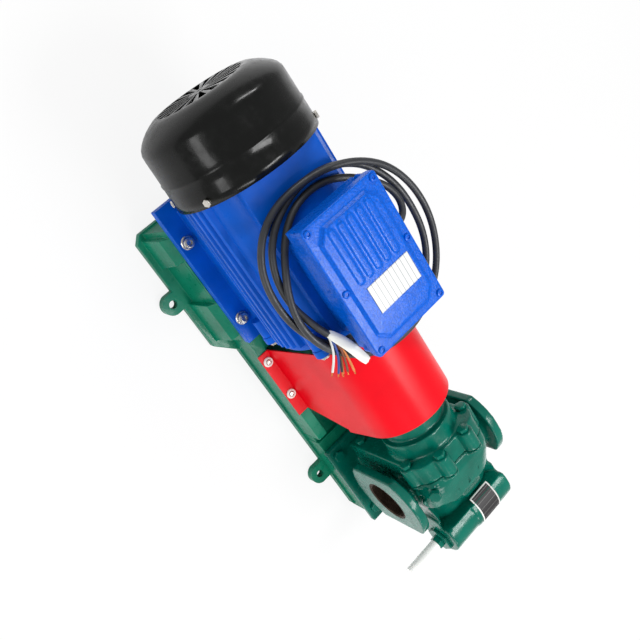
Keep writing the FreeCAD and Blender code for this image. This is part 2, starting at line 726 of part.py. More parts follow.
def make_fan_cover():
    wall = s.cover_wall
    rim = cover_rear + s.cover_rim_drop
    seam = cover_rear + s.cover_seam_drop
    straight = cover_front - 16
    outline = [
        (cover_rear, 0), (cover_rear + wall, 0), (cover_rear + wall, s.cover_end_radius - 2),
        (rim + 1, s.cover_rim_radius - wall), (seam, s.cover_seam_radius - 1 - wall),
        (straight, s.cover_radius - wall), (cover_front, s.cover_radius - wall),
        (cover_front, s.cover_radius), (straight, s.cover_radius),
        (seam + 1, s.cover_seam_radius), (seam, s.cover_seam_radius - 1),
        (rim + 2, s.cover_rim_radius), (rim - 1, s.cover_rim_radius - 1.5),
        (cover_rear + 1.5, s.cover_end_radius + 1), (cover_rear, s.cover_end_radius - 1),
    ]
    shell = turned("fan_cover_shell", outline, (0, 0, axis_z))
    tools = [radial_box("grille_slot", cover_rear - 1, cover_rear + wall + 1, s.grille_inner,
                        s.cover_end_radius - 8, 2.5, 360.0 * index / GRILLE_COUNT)
             for index in range(GRILLE_COUNT)]
    tools += [spoke("cover_hole", "Part::Cylinder", cover_screw_x, s.frame_radius, 14,
                    s.small_screw_radius, angle) for angle in COVER_SCREW_ANGLES]
    node("fan_cover", cut("fan_cover", shell, tools))


def make_foot_bolts():
    seat = s.motor_seat_z + s.foot_thick
    pieces = [bolt("motor_foot_bolt", "z", seat + 2, across, 1, s.foot_bolt_radius,
                   s.foot_thick + 2 + s.bed_deck) for across in motor_bolt_places()]
    node("motor_foot_bolts", group("motor_foot_bolts", pieces))
    washers = [ring("foot_washer", "z", seat, seat + 2, s.foot_bolt_radius * 2.1,
                    s.foot_bolt_radius, across) for across in motor_bolt_places()]
    node("motor_foot_washers", group("motor_foot_washers", washers))


# Terminal box


def lid_screw_places():
    reach = s.lid_length / 2 - s.lid_screw_inset
    return [(s.box_x + step * reach, side * (s.lid_half_width - s.lid_screw_inset))
            for side in (-1, 1) for step in (-1, 0, 1)]


def make_terminal_box():
    half = s.box_length / 2
    wall = s.box_wall
    x = (s.box_x - half, s.box_x + half)
    neck_x = (s.box_x + 0.5 - s.neck_length / 2, s.box_x + 0.5 + s.neck_length / 2)
    solids = [
        box("box_upper", x, span(s.box_half_width), (box_z, lid_z)),
        box("box_rim", (x[0] - 3, x[1] + 3), span(s.box_half_width + 3), (lid_z - 8, lid_z)),
        box("box_neck", neck_x, span(s.neck_half_width), (deck_z, box_z + 1)),
    ]
    reach = s.neck_half_width
    for across in lid_screw_places():
        solids.append(rod("box_screw_boss", "z", lid_z - 20, lid_z, 6, across))
    tools = [
        box("box_room", (x[0] + wall, x[1] - wall), span(s.box_half_width - wall - 6),
            (box_z + wall, lid_z + 1)),
        box("neck_room", (neck_x[0] + wall, neck_x[1] - wall), span(reach - wall),
            (deck_z + wall, box_z + wall + 1)),
        rod("gland_hole", "y", reach - wall - 1, reach + 1, s.cord_radius + 3,
            (s.gland_x, s.gland_z)),
    ]
    for across in lid_screw_places():
        tools.append(rod("box_screw_hole", "z", lid_z - 14, lid_z + 1, s.small_screw_radius,
                         across))
    node("terminal_box", cut("terminal_box", join("box_solid", solids), tools))
    make_lid()
    board_z = deck_z + wall
    parts = [box("board_plate", (s.box_x - 38, s.box_x + 38), span(28), (board_z, board_z + 8))]
    for row in (-1, 1):
        for column in (-1, 0, 1):
            across = (s.box_x + 24 * column, 14 * row)
            parts.append(rod("board_stud", "z", board_z + 7, board_z + 24, 2.5, across))
            parts.append(hexagon("board_nut", "z", board_z + 7, board_z + 13, 5, across))
    node("terminal_board", join("terminal_board", parts))


def make_lid():
    half = s.lid_length / 2
    start, end = s.box_x - half, s.box_x + half
    panel_x = (start + 13, end - 13)
    panel = tapered("lid_panel", panel_x, s.lid_half_width - 13,
                    (panel_x[0] + 1.5, panel_x[1] - 1.5), s.lid_half_width - 14.5,
                    (lid_top - 1, lid_top + s.lid_panel_rise))
    outer = box("lid_outer", (start, end), span(s.lid_half_width), (lid_z, lid_top))
    room = box("lid_room", (start + 16, end - 16), span(s.lid_half_width - 16),
               (lid_z - 1, lid_top - 3))
    ribs = []
    rib_z = (lid_top, lid_top + s.lid_panel_rise + 2)
    rib_x = (panel_x[0] + 12, s.box_x - 2)
    for index in range(RIB_COUNT):
        y = (index - (RIB_COUNT - 1) / 2) * s.rib_pitch
        ribs.append(box("lid_rib", rib_x, (y - 4.5, y + 4.5), rib_z))
        ribs += [rod("lid_rib_end", "z", rib_z[0], rib_z[1], 4.5, (at, y)) for at in rib_x]
    tools = [room]
    tools += [rod("lid_screw_hole", "z", lid_z - 1, lid_top + 1, s.small_screw_radius, across)
              for across in lid_screw_places()]
    for side_x, edge in ((-1, start), (1, end)):
        for side_y in (-1, 1):
            middle = side_y * s.lid_half_width
            corner = box("lid_corner", (edge - 5, edge + 5), (middle - 5, middle + 5),
                         (lid_z - 1, lid_top + 1))
            post = rod("lid_corner_post", "z", lid_z - 2, lid_top + 2, 5,
                       (edge - 5 * side_x, middle - 5 * side_y))
            inside = box("lid_corner_keep", (edge - 5 * side_x - 5, edge - 5 * side_x + 5),
                         (middle - 15 * side_y - 10, middle - 15 * side_y + 10),
                         (lid_z - 2, lid_top + 2))
            beside = box("lid_corner_side", (edge - 15 * side_x - 10, edge - 15 * side_x + 10),
                         (middle - 5 * side_y - 5, middle - 5 * side_y + 5),
                         (lid_z - 2, lid_top + 2))
            tools.append(cut("lid_corner_tool", corner, [post, inside, beside]))
    node("terminal_box_lid",
         cut("terminal_box_lid", join("lid_solid", [outer, panel] + ribs), tools))
    screws = []
    for across in lid_screw_places():
        head = rod("lid_screw_head", "z", lid_top, lid_top + 3, s.small_screw_radius * 1.7, across)
        shank = rod("lid_screw_shank", "z", lid_z - 12, lid_top, s.small_screw_radius, across)
        slot = box("lid_screw_slot", (across[0] - 6, across[0] + 6),
                   (across[1] - 0.6, across[1] + 0.6), (lid_top + 1.8, lid_top + 4))
        screws.append(cut("lid_screw", join("lid_screw_solid", [head, shank]), [slot]))
    node("lid_screws", group("lid_screws", screws))
    middle = s.motor_x + 65
    plate_z = lid_top + s.lid_panel_rise
    node("lid_plate", box("lid_plate", (middle - 20, middle + 20), (-31, 44),
                          (plate_z, plate_z + 0.8)))


# Coupling and guard


def jaws(name, start, end, first_angle, sweep):
    return [shaft_sector(name, start, end, s.coupling_radius - 1, s.jaw_inner,
                         first_angle + index * 120, sweep) for index in range(3)]


def make_coupling():
    across = (0, axis_z)
    hub = ring("motor_hub", "x", jaw_start - s.coupling_hub, jaw_start, s.coupling_radius,
               s.shaft_radius, across)
    parts = [hub] + jaws("motor_jaw", jaw_start - 1, jaw_end - 1, 0, s.jaw_angle)
    node("coupling_motor_half", cut("coupling_motor_half", join("motor_half", parts),
                                    [motor_key("hub_key_slot")]))
    hub = ring("pump_hub", "x", jaw_end, jaw_end + s.coupling_hub, s.coupling_radius,
               s.pump_shaft_radius, across)
    parts = [hub] + jaws("pump_jaw", jaw_start + 1, jaw_end + 1, 60,
                         s.jaw_angle - s.jaw_play_angle)
    node("coupling_pump_half", cut("coupling_pump_half", join("pump_half", parts),
                                   [pump_key("pump_hub_slot")]))
    start, end = jaw_start + 1.5, jaw_end - 1.5
    arms = [shaft_sector("spider_arm", start, end, s.coupling_radius - 2, s.jaw_inner - 1,
                         30 + index * 60, 60 - s.jaw_angle) for index in range(6)]
    core = ring("spider_core", "x", start, end, s.jaw_inner, s.shaft_radius + 2, across)
    node("coupling_spider", join("coupling_spider", [core] + arms))


def make_guard():
    seat = s.guard_seat_z
    top = seat + s.guard_sheet
    fold = float(s.guard_fold_half)
    depth = float(s.guard_arch_z - seat)
    lean = math.acos(float(s.guard_radius) / math.hypot(fold, depth)) - math.atan2(depth, fold)
    sine, cosine = math.sin(lean), math.cos(lean)

    def arch(radius):
        y, z = radius * cosine, s.guard_arch_z + radius * sine
        return [(y, z), (-y, z, radius)]

    edge = s.guard_edge_half
    inner_fold = s.guard_fold_half - s.guard_sheet
    outline = [(edge, seat), (edge, top), (s.guard_fold_half, top)] + arch(s.guard_radius)
    outline += [(-s.guard_fold_half, top), (-edge, top), (-edge, seat)]
    length = s.guard_front_x - s.guard_rear_x
    solid = profiled("guard_blank", outline, s.guard_rear_x, length)
    inside = profiled("guard_room", [(inner_fold, seat)] + arch(s.guard_radius - s.guard_sheet)
                      + [(-inner_fold, seat)], s.guard_rear_x - 1, length + 2)
    far = s.guard_front_x + 60
    slant = tapered("guard_slant_tool", (s.guard_foot_end, far), 160,
                    (s.guard_foot_end + s.guard_slant, far), 160, (seat - 1, seat + 77))
    tools = [inside, slant]
    screws = []
    washers = []
    for across in guard_screw_places():
        tools.append(rod("guard_hole", "z", seat - 1, seat + 3, s.small_screw_radius, across))
        washers.append(ring("guard_washer", "z", top, top + 1.5, s.small_screw_radius * 2.6,
                            s.small_screw_radius, across))
        head = rod("guard_screw_head", "z", top + 1.5, top + 5, s.small_screw_radius * 1.7, across)
        shank = rod("guard_screw_shank", "z", top - 12, top + 1.5, s.small_screw_radius, across)
        screws.append(join("guard_screw", [head, shank]))
    node("coupling_guard", cut("coupling_guard", solid, tools))
    node("guard_screws", group("guard_screws", screws))
    node("guard_washers", group("guard_washers", washers))


# Pump


def case_outline(half, top, corner):
    """Straight sides with round top corners, counter-clockwise in (y, z)."""
    return [(half, case_floor), (half, top - corner), (half - corner, top, corner),
            (corner - half, top), (-half, top - corner, corner), (-half, case_floor)]


def full_outline():
    return case_outline(s.case_half_width, axis_z + s.case_top, s.case_corner)


def cover_bolt_places():
    pairs = ((s.top_bolt_half, axis_z + s.top_bolt_rise),
             (s.side_bolt_half, axis_z + s.side_bolt_rise),
             (s.low_bolt_half, driven_z - s.low_bolt_drop))
    return [(side * y, z) for y, z in pairs for side in (-1, 1)]


def pin_places():
    return [(0, axis_z + s.pin_rise), (0, driven_z - s.pin_drop)]


def bolt_rods(name, start, end, radius):
    return [rod(name, "x", start, end, radius, across) for across in cover_bolt_places()]


def pin_rods(name, start, end):
    return [rod(name, "x", start, end, s.pin_radius, across) for across in pin_places()]


def shaft_rods(name, start, end, radius):
    return [rod(name, "x", start, end, radius, (0, z)) for z in (axis_z, driven_z)]


def valve_ports(name, start, end):
    return [rod(name, "x", start, end, s.valve_port_radius, (side * s.valve_port_half, s.valve_z))
            for side in (-1, 1)]


def foot_relief(name, start, end):
    """The thin space that keeps a cover off the pump's foot."""
    return box(name, (start - 1, end + 1), span(90), (case_floor - 12, foot_top + s.pump_foot_play))


def make_covers():
    loose = s.cover_bolt_radius + s.bolt_play
    across = (0, axis_z)
    parts = [profiled("front_cover_block", full_outline(), cover_face, cover_back - cover_face),
             rod("collar", "x", collar_face, cover_face + 1, s.collar_radius, across),
             rod("neck", "x", neck_face, collar_face + 1, s.neck_radius, across)]
    parts += bolt_rods("front_cover_ear", cover_face, cover_back, s.boss_radius)
    packing_end = neck_face + s.packing_start + s.packing_length
    tools = [rod("shaft_clearance", "x", neck_face - 1, cover_back, s.pump_shaft_radius + 1.5,
                 across),
             rod("packing_bore", "x", neck_face - 1, packing_end, s.packing_bore, across),
             foot_relief("front_cover_under", cover_face, cover_back)]
    tools += shaft_rods("bush_bore", cover_back - s.bush_length, cover_back + 1, bush_radius)
    tools += bolt_rods("cover_hole_front", cover_face - 1, cover_back + 1, loose)
    tools += pin_rods("pin_hole_front", cover_back - 9, cover_back + 1)
    for side in (-1, 1):
        tools.append(rod("stud_hole", "x", neck_face - 1, neck_face + 15, s.gland_stud_radius,
                         (side * s.gland_stud_half, axis_z)))
    node("pump_front_cover", cut("pump_front_cover", join("front_cover_solid", parts), tools))

    half = s.valve_half_length
    valve = (s.valve_x, s.valve_z)
    inset = case_outline(s.rear_inset_half, axis_z + s.case_top - 10, s.case_corner)
    parts = [profiled("rear_cover_block", full_outline(), rear_face, s.rear_flange_thick),
             profiled("rear_cover_inset", inset, rear_seat - 1, rear_end - rear_seat + 1),
             rod("valve_barrel", "y", -half, half, s.valve_radius, valve),
             rod("valve_barrel_wide", "y", s.valve_step_y, half, s.valve_wide_radius, valve),
             box("valve_bridge", (rear_seat - 1, s.valve_x), span(half - 7),
                 (s.valve_z - s.valve_radius + 4, s.valve_z + 14))]
    parts += bolt_rods("rear_cover_ear", rear_face, rear_seat, s.boss_radius)
    tools = [rod("valve_bore", "y", -half - 1, s.valve_seat_y, s.valve_bore, valve),
             rod("valve_seat", "y", s.valve_seat_y - 1, half - 8, s.valve_seat_radius, valve),
             foot_relief("rear_cover_under", rear_face, rear_end)]
    tools += shaft_rods("bush_bore_rear", rear_face - 1, rear_face + s.bush_length, bush_radius)
    tools += valve_ports("valve_port_rear", rear_face - 1, s.valve_x)
    tools += bolt_rods("cover_hole_rear", rear_face - 1, rear_seat + 1, loose)
    tools += pin_rods("pin_hole_rear", rear_face - 1, rear_face + 9)
    node("pump_rear_cover", cut("pump_rear_cover", join("rear_cover_solid", parts), tools))


def facing(side, start, end):
    """A span along Y on the side that is meant, low end first."""
    return (start, end) if side > 0 else (-end, -start)


def make_gear_case():
    parts = [profiled("gear_case_block", full_outline(), case_start, s.gear_width),
             box("pump_foot", (s.pump_foot_start, s.pump_foot_end), span(s.pump_foot_half),
                 (s.pump_seat_z, foot_top)),
             plug_part("plug_boss", "Part::Cylinder", -6, 12, s.plug_radius + 7)]
    parts += bolt_rods("case_ear", case_start, case_start + 26, s.boss_radius)
    parts += bolt_rods("case_ear_rear", case_end - 26, case_end, s.boss_radius)
    across = (s.port_x, port_z)
    back = s.port_face - s.flange_thick
    inner = s.port_face - s.port_thread_depth
    tools = []
    for side in (-1, 1):
        low, high = facing(side, back, s.port_face)
        disc = rod("port_disc", "y", low, high, s.flange_radius, across)
        flats = box("port_flats", (s.port_x - s.flange_flat, s.port_x + s.flange_flat),
                    (low - 1, high + 1), (port_z - 90, port_z + 90))
        parts.append(meet("port_flange", disc, flats))
        radii = (s.port_root_radius, s.port_neck_radius)[::side]
        low, high = facing(side, s.case_half_width - 2, back + 1)
        parts.append(cone("port_neck", "y", low, high, radii[0], radii[1], across))
        low, high = facing(side, inner, s.port_face + 1)
        tools.append(rod("port_thread", "y", low, high, s.port_thread_radius, across))
        low, high = facing(side, 24, inner + 1)
        tools.append(rod("port_passage", "y", low, high, s.port_passage_radius, across))
    tools.append(plug_part("plug_hole", "Part::Cylinder", -8, 16, s.plug_radius))
    tools += shaft_rods("gear_chamber", case_start - 1, case_end + 1, chamber_radius)
    tools += valve_ports("valve_port_case", s.port_x + 10, case_end + 1)
    tools += bolt_rods("case_thread", case_start - 1, case_start + s.bolt_reach,
                       s.cover_bolt_radius)
    tools += bolt_rods("case_thread_rear", case_end - s.bolt_reach, case_end + 1,
                       s.cover_bolt_radius)
    tools += pin_rods("case_pin_hole", case_start - 1, case_end + 1)
    for place_xy in pump_bolt_places():
        tools.append(rod("pump_foot_hole", "z", s.pump_seat_z - 1, foot_top + 1,
                         s.foot_bolt_radius + s.bolt_play, place_xy))
    node("gear_case", cut("gear_case", join("gear_case_solid", parts), tools))
    head = plug_part("plug_head", "Part::Prism", 6, 8, s.plug_radius + 4)
    stem = plug_part("plug_stem", "Part::Cylinder", -6, 13, s.plug_radius)
    node("case_plug", join("case_plug", [head, stem]))


def plug_part(name, item_type, start, length, radius):
    """A piece of the plug that stands out of the upper left corner of the case."""
    item = doc.addObject(item_type, fresh(name))
    if item_type == "Part::Prism":
        item.Polygon = 6
        bind(item, "Circumradius", radius)
    else:
        bind(item, "Radius", radius)
    item.Height = length
    reach = (s.case_corner + start) * math.sqrt(0.5)
    aim = FreeCAD.Rotation(UP, FreeCAD.Vector(0, -1, 1))
    return place(item, (s.plug_x, s.case_corner - s.case_half_width - reach,
                        axis_z + s.case_top - s.case_corner + reach), aim)


def make_cover_hardware():
    bolts = []
    for across in cover_bolt_places():
        bolts.append(bolt("cover_bolt", "x", cover_face, across, -1, s.cover_bolt_radius,
                          s.front_cover_thick + s.gasket + s.bolt_reach))
        bolts.append(bolt("cover_bolt_rear", "x", rear_seat, across, 1, s.cover_bolt_radius,
                          s.rear_flange_thick + s.gasket + s.bolt_reach))
    node("cover_bolts", group("cover_bolts", bolts))
    node("dowel_pins", group("dowel_pins", pin_rods("dowel_pin", cover_back - 9, rear_face + 9)))
    gaskets = []
    for start, end in ((cover_back, case_start), (case_end, rear_face)):
        blank = profiled("gasket_blank", full_outline(), start, s.gasket)
        tools = shaft_rods("gasket_chamber", start - 1, end + 1, chamber_radius)
        tools += bolt_rods("gasket_hole", start - 1, end + 1, s.cover_bolt_radius + s.bolt_play)
        tools += pin_rods("gasket_pin_hole", start - 1, end + 1)
        tools += valve_ports("gasket_port", start - 1, end + 1)
        tools.append(foot_relief("gasket_under", start, end))
        gaskets.append(cut("case_gasket", blank, tools))
    node("case_gaskets", group("case_gaskets", gaskets))
    bushes = []
    for start, end in ((cover_back - s.bush_length, cover_back),
                       (rear_face, rear_face + s.bush_length)):
        for z in (axis_z, driven_z):
            bushes.append(ring("bearing_bush", "x", start, end, bush_radius,
                               s.pump_shaft_radius + s.running_play, (0, z)))
    node("bearing_bushes", group("bearing_bushes", bushes))
    bolts = [bolt("pump_foot_bolt", "z", foot_top, across, 1, s.foot_bolt_radius,
                  s.pump_foot_thick + 20) for across in pump_bolt_places()]
    node("pump_foot_bolts", group("pump_foot_bolts", bolts))


def make_gland():
    across = (0, axis_z)
    start = neck_face + s.packing_start
    pitch = s.packing_length / PACKING_RINGS
    rings = [ring("packing_ring", "x", start + index * pitch, start + (index + 1) * pitch,
                  s.packing_bore, s.pump_shaft_radius + s.running_play, across)
             for index in range(PACKING_RINGS)]
    node("gland_packing", group("gland_packing", rings))
    flange_end = neck_face - s.gland_gap
    face = flange_end - s.gland_flange_thick
    flange = rod("gland_flange", "x", face, flange_end, s.gland_flange_radius, across)
    sleeve = rod("gland_sleeve", "x", flange_end - 1, start, s.packing_bore, across)
    tools = [rod("gland_bore", "x", face - 1, start + 1, s.pump_shaft_radius + 0.5, across)]
    studs = []
    for side in (-1, 1):
        at = (side * s.gland_stud_half, axis_z)
        tools.append(rod("gland_stud_hole", "x", face - 1, flange_end + 1,
                         s.gland_stud_radius + s.bolt_play, at))
        stud = rod("gland_stud", "x", face - 9, neck_face + 15, s.gland_stud_radius, at)
        nut = hexagon("gland_nut", "x", face - 6, face, s.gland_stud_radius * 1.8, at)
        studs.append(join("gland_stud_and_nut", [stud, nut]))
    node("gland_follower", cut("gland_follower", join("gland_solid", [flange, sleeve]), tools))
    node("gland_studs", group("gland_studs", studs))


def involute_gear(label, centre_z, tooth_angle):
    """A spur gear with straight-sided facets along true involute flanks."""
    module = float(s.gear_module)
    pitch_radius = module * TEETH / 2
    base = pitch_radius * math.cos(PRESSURE_ANGLE)
    tip = pitch_radius + module
    root = pitch_radius - 1.25 * module
    half_thick = math.pi * module / 4 - float(s.tooth_play)
    half_base = half_thick / pitch_radius + math.tan(PRESSURE_ANGLE) - PRESSURE_ANGLE
    flank = [(root, half_base - 0.02)]
    for step in range(8):
        radius = base + (tip - base) * step / 7
        pressure = math.acos(min(base / radius, 1.0))
        flank.append((radius, half_base - (math.tan(pressure) - pressure)))
    points = []
    start = float(case_start + s.gear_side_play)
    for index in range(TEETH):
        middle = tooth_angle + 2 * math.pi * index / TEETH
        profile = [(r, middle - a) for r, a in flank] + [(r, middle + a) for r, a in flank[::-1]]
        points += [FreeCAD.Vector(start, r * math.cos(a), float(centre_z) + r * math.sin(a))
                   for r, a in profile]
    face = Part.Face(Part.makePolygon(points + [points[0]]))
    solid = face.extrude(FreeCAD.Vector(float(s.gear_width - 2 * s.gear_side_play), 0, 0))
    bore = Part.makeCylinder(float(s.pump_shaft_radius), 200, FreeCAD.Vector(
        start - 50, 0, float(centre_z)), FORWARD)
    own_shape(label, solid.cut(bore))


def make_pump_gears():
    involute_gear("drive_gear", axis_z, -math.pi / 2)
    involute_gear("driven_gear", driven_z, math.pi / 2 + math.pi / TEETH)
    end = rear_face + s.bush_length - 2
    shaft = rod("drive_shaft_rod", "x", jaw_end + 1, end, s.pump_shaft_radius, (0, axis_z))
    node("drive_shaft", cut("drive_shaft", shaft, [pump_key("pump_key_slot")]))
    node("pump_shaft_key", pump_key("pump_shaft_key"))
    node("driven_shaft", rod("driven_shaft", "x", cover_back - s.bush_length + 2, end,
                             s.pump_shaft_radius, (0, driven_z)))


def facet(first, second, third):
    return Part.Face(Part.makePolygon([first, second, third, first]))


def triangle_fan(section):
    return [facet(section[0], section[i], section[i + 1]) for i in range(1, len(section) - 1)]


def coil_spring(label, start, end, middle):
    """A coil of six-sided wire wound along Y."""
    steps = SPRING_TURNS * 14
    wire = float(s.spring_wire)
    radius = float(s.spring_radius)
    low, high = float(start) + wire, float(end) - wire
    sections = []
    for step in range(steps + 1):
        turn = 2 * math.pi * SPRING_TURNS * step / steps
        section = []
        for corner in range(6):
            angle = math.pi * (corner + 0.5) / 3
            reach = radius + wire * math.cos(angle)
            section.append(FreeCAD.Vector(
                float(middle[0]) + reach * math.cos(turn),
                low + (high - low) * step / steps + wire * math.sin(angle),
                float(middle[1]) + reach * math.sin(turn)))
        sections.append(section)
    faces = triangle_fan(sections[0]) + triangle_fan(sections[-1])
    for here, there in zip(sections, sections[1:]):
        for corner in range(6):
            after = (corner + 1) % 6
            faces.append(facet(here[corner], here[after], there[after]))
            faces.append(facet(here[corner], there[after], there[corner]))
    shell = Part.makeShell(faces)
    shell.sewShape()
    solid = Part.makeSolid(shell)
    if solid.Volume < 0:
        solid.reverse()
    own_shape(label, solid)


def make_relief_valve():
    middle = (s.valve_x, s.valve_z)
    seat = s.valve_seat_y
    poppet_start = seat - s.poppet_length
    stem = s.spring_radius - s.spring_wire - 1
    nose = cone("poppet_nose", "y", seat - 1, seat + 5, s.valve_seat_radius - 0.3,
                s.valve_seat_radius - 5, middle)
    land = rod("poppet_land", "y", poppet_start + 8, seat, s.poppet_radius, middle)
    guide = rod("poppet_guide", "y", poppet_start, poppet_start + 9, stem, middle)
    node("relief_poppet", join("relief_poppet", [nose, land, guide]))
    disc_end = s.disc_y + s.disc_thick
    coil_spring("relief_spring", disc_end, poppet_start + 8, middle)
    disc = rod("disc_plate", "y", s.disc_y, disc_end, s.valve_bore - 0.5, middle)
    peg = rod("disc_peg", "y", disc_end - 1, disc_end + 8, stem, middle)
    node("spring_seat", join("spring_seat", [disc, peg]))
    face = -s.valve_half_length
    hole = s.screw_radius + s.screw_play
    cap = hexagon("bonnet_cap", "y", face - s.bonnet_thick, face, s.bonnet_radius, middle)
    plug = rod("bonnet_plug", "y", face - 1, face + s.bonnet_depth, s.valve_bore, middle)
    bore = rod("bonnet_bore", "y", face - 20, face + 30, hole, middle)
    node("relief_bonnet", cut("relief_bonnet", join("bonnet_solid", [cap, plug]), [bore]))
    screw = rod("screw_rod", "y", s.screw_end_y, s.disc_y, s.screw_radius, middle)
    driver = box("screw_slot", (s.valve_x - 8, s.valve_x + 8),
                 (s.screw_end_y - 1, s.screw_end_y + 3), (s.valve_z - 1, s.valve_z + 1))
    node("adjusting_screw", cut("adjusting_screw", screw, [driver]))
    nut_face = face - s.bonnet_thick
    end = nut_face - s.lock_nut_thick
    nut = hexagon("nut_body", "y", end, nut_face, s.screw_radius * 1.85, middle)
    nut_bore = rod("nut_bore", "y", end - 1, nut_face + 1, hole, middle)
    node("adjusting_lock_nut", cut("adjusting_lock_nut", nut, [nut_bore]))
    tube = rod("sleeve_tube", "y", end - s.sleeve_length, end, s.sleeve_radius, middle)
    room = rod("sleeve_room", "y", end - s.sleeve_length + s.sleeve_wall, end + 1,
               s.sleeve_radius - s.sleeve_wall, middle)
    node("thread_sleeve", cut("thread_sleeve", tube, [room]))
    plate_radius = s.valve_wide_radius + 0.15
    node("pump_plate", ring("pump_plate", "y", 10, 54, plate_radius + 0.8, plate_radius, middle,
                            89, -146))


# Cord


def make_cord():
    band = s.coil_band
    low = s.coil_z
    high = s.coil_z + s.coil_height
    outer = s.coil_radius + band
    across = (s.coil_x, s.coil_y)
    body = cone("coil_foot", "z", low, low + 5, outer - 4, outer, across)
    middle = rod("coil_middle", "z", low + 5, high - 5, outer, across)
    top = cone("coil_top", "z", high - 5, high, outer, outer - 4, across)
    room = rod("coil_room", "z", low - 1, high + 1, s.coil_radius - band, across)
    # The turns bend over the rim of the motor's front shield
    rim_room = rod("coil_rim_room", "x", frame_end - 1, shield_front, s.frame_radius + s.coil_play,
                   (0, axis_z))
    node("cord_coil", cut("cord_coil", join("coil_solid", [body, middle, top]), [room, rim_room]))

    wall = s.neck_half_width
    at = (s.gland_x, s.gland_z)
    nut = hexagon("gland_nut_body", "y", wall, wall + 14, s.cord_radius + 9, at)
    cap = cone("gland_cap", "y", wall + 14, wall + 24, s.cord_radius + 6, s.cord_radius + 3, at)
    stem = rod("gland_stem", "y", wall - s.box_wall - 3, wall, s.cord_radius + 3, at)
    hole = rod("gland_cord_bore", "y", 0, 200, s.cord_radius, at)
    node("cable_gland", cut("cable_gland", join("cable_gland_solid", [nut, cap, stem]), [hole]))
    lead_end = s.coil_y + s.coil_radius - band + 3
    node("cord_lead", rod("cord_lead", "y", wall + 2, lead_end, s.cord_radius, at))


def bend_radius(first, corner, last):
    back, ahead = first - corner, last - corner
    half = (math.pi - back.getAngle(ahead)) / 2
    return 0.45 * min(back.Length, ahead.Length) / math.tan(half)


def tube_along(points, radius, bends):
    """Straight runs joined by arcs that are tangent to both of their neighbours."""
    runs = []
    here = points[0]
    for index in range(1, len(points) - 1):
        back = (points[index - 1] - points[index]).normalize()
        ahead = (points[index + 1] - points[index]).normalize()
        half = (math.pi - back.getAngle(ahead)) / 2
        bend = bends[index - 1]
        trim = bend * math.tan(half)
        start = points[index] + back * trim
        end = points[index] + ahead * trim
        inward = (back + ahead).normalize()
        middle = points[index] + inward * (bend / math.cos(half) - bend)
        runs.append(Part.LineSegment(here, start).toShape())
        runs.append(Part.Arc(start, middle, end).toShape())
        here = end
    runs.append(Part.LineSegment(here, points[-1]).toShape())
    direction = (points[1] - points[0]).normalize()
    circle = Part.Wire(Part.Circle(points[0], direction, radius).toShape())
    return Part.Wire(runs).makePipeShell([circle], True, True)


def make_tail():
    """The stripped free end that lies beside the lid, with its cores fanned out."""
    level = float(s.coil_z + s.coil_height)
    near = float(s.coil_y - s.coil_radius - s.coil_band)
    points = [FreeCAD.Vector(*p) for p in (
        (52, near + 30, level), (86, near + 61, level + 7),
        (118, near + 70, level + 9), (148, near + 76, level + 6))]
    bends = [bend_radius(*points[i:i + 3]) for i in range(2)]
    print("cord tail bend radii:", [round(r, 1) for r in bends])
    own_shape("cord_tail", tube_along(points, float(s.cord_radius) + 0.5, bends))
    root = points[1] + FreeCAD.Vector(0, -5, -1)
    tips = ((124, near + 29, 1.6), (131, near + 35, 2), (134, near + 41, 1.6),
            (138, near + 47, 2.4), (144, near + 55, 2.4))
    middle = (FreeCAD.Vector(tips[2][0], tips[2][1], level) - root).normalize()
    side = middle.cross(UP).normalize()
    cores = []
    for index, (x, y, rise) in enumerate(tips):
        start = root + side * (2 - index) * 1.6 + UP * (1.4 if index % 2 else -1.4)
        run = FreeCAD.Vector(x, y, level + rise) - start
        cores.append(Part.makeCylinder(1.2, run.Length, start, run))
    own_shape("cord_conductors", Part.makeCompound(cores))


make_bed()
make_motor_frame()
make_shields()
make_bearings()
make_rotor()
make_fan()
make_fan_cover()
make_foot_bolts()
make_terminal_box()
make_coupling()
make_guard()
make_covers()
make_gear_case()
make_cover_hardware()
make_gland()
make_pump_gears()
make_relief_valve()
make_cord()
make_tail()

doc.recompute()
failed = [item.Name for item in doc.Objects if "Invalid" in item.State or "Error" in item.State]
if failed:
    raise RuntimeError("objects failed to compute: " + ", ".join(failed))
os.makedirs("parts", exist_ok=True)
for label, item in nodes.items():
    shape = item.Shape
    if shape.isNull() or not shape.isValid():
        raise RuntimeError("bad shape: " + label)
    shape.exportStep("parts/%s.step" % label)
    print(label, len(shape.Solids), round(shape.Volume))
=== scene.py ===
import json
import math

import bmesh
import bpy
from mathutils import Matrix, Vector

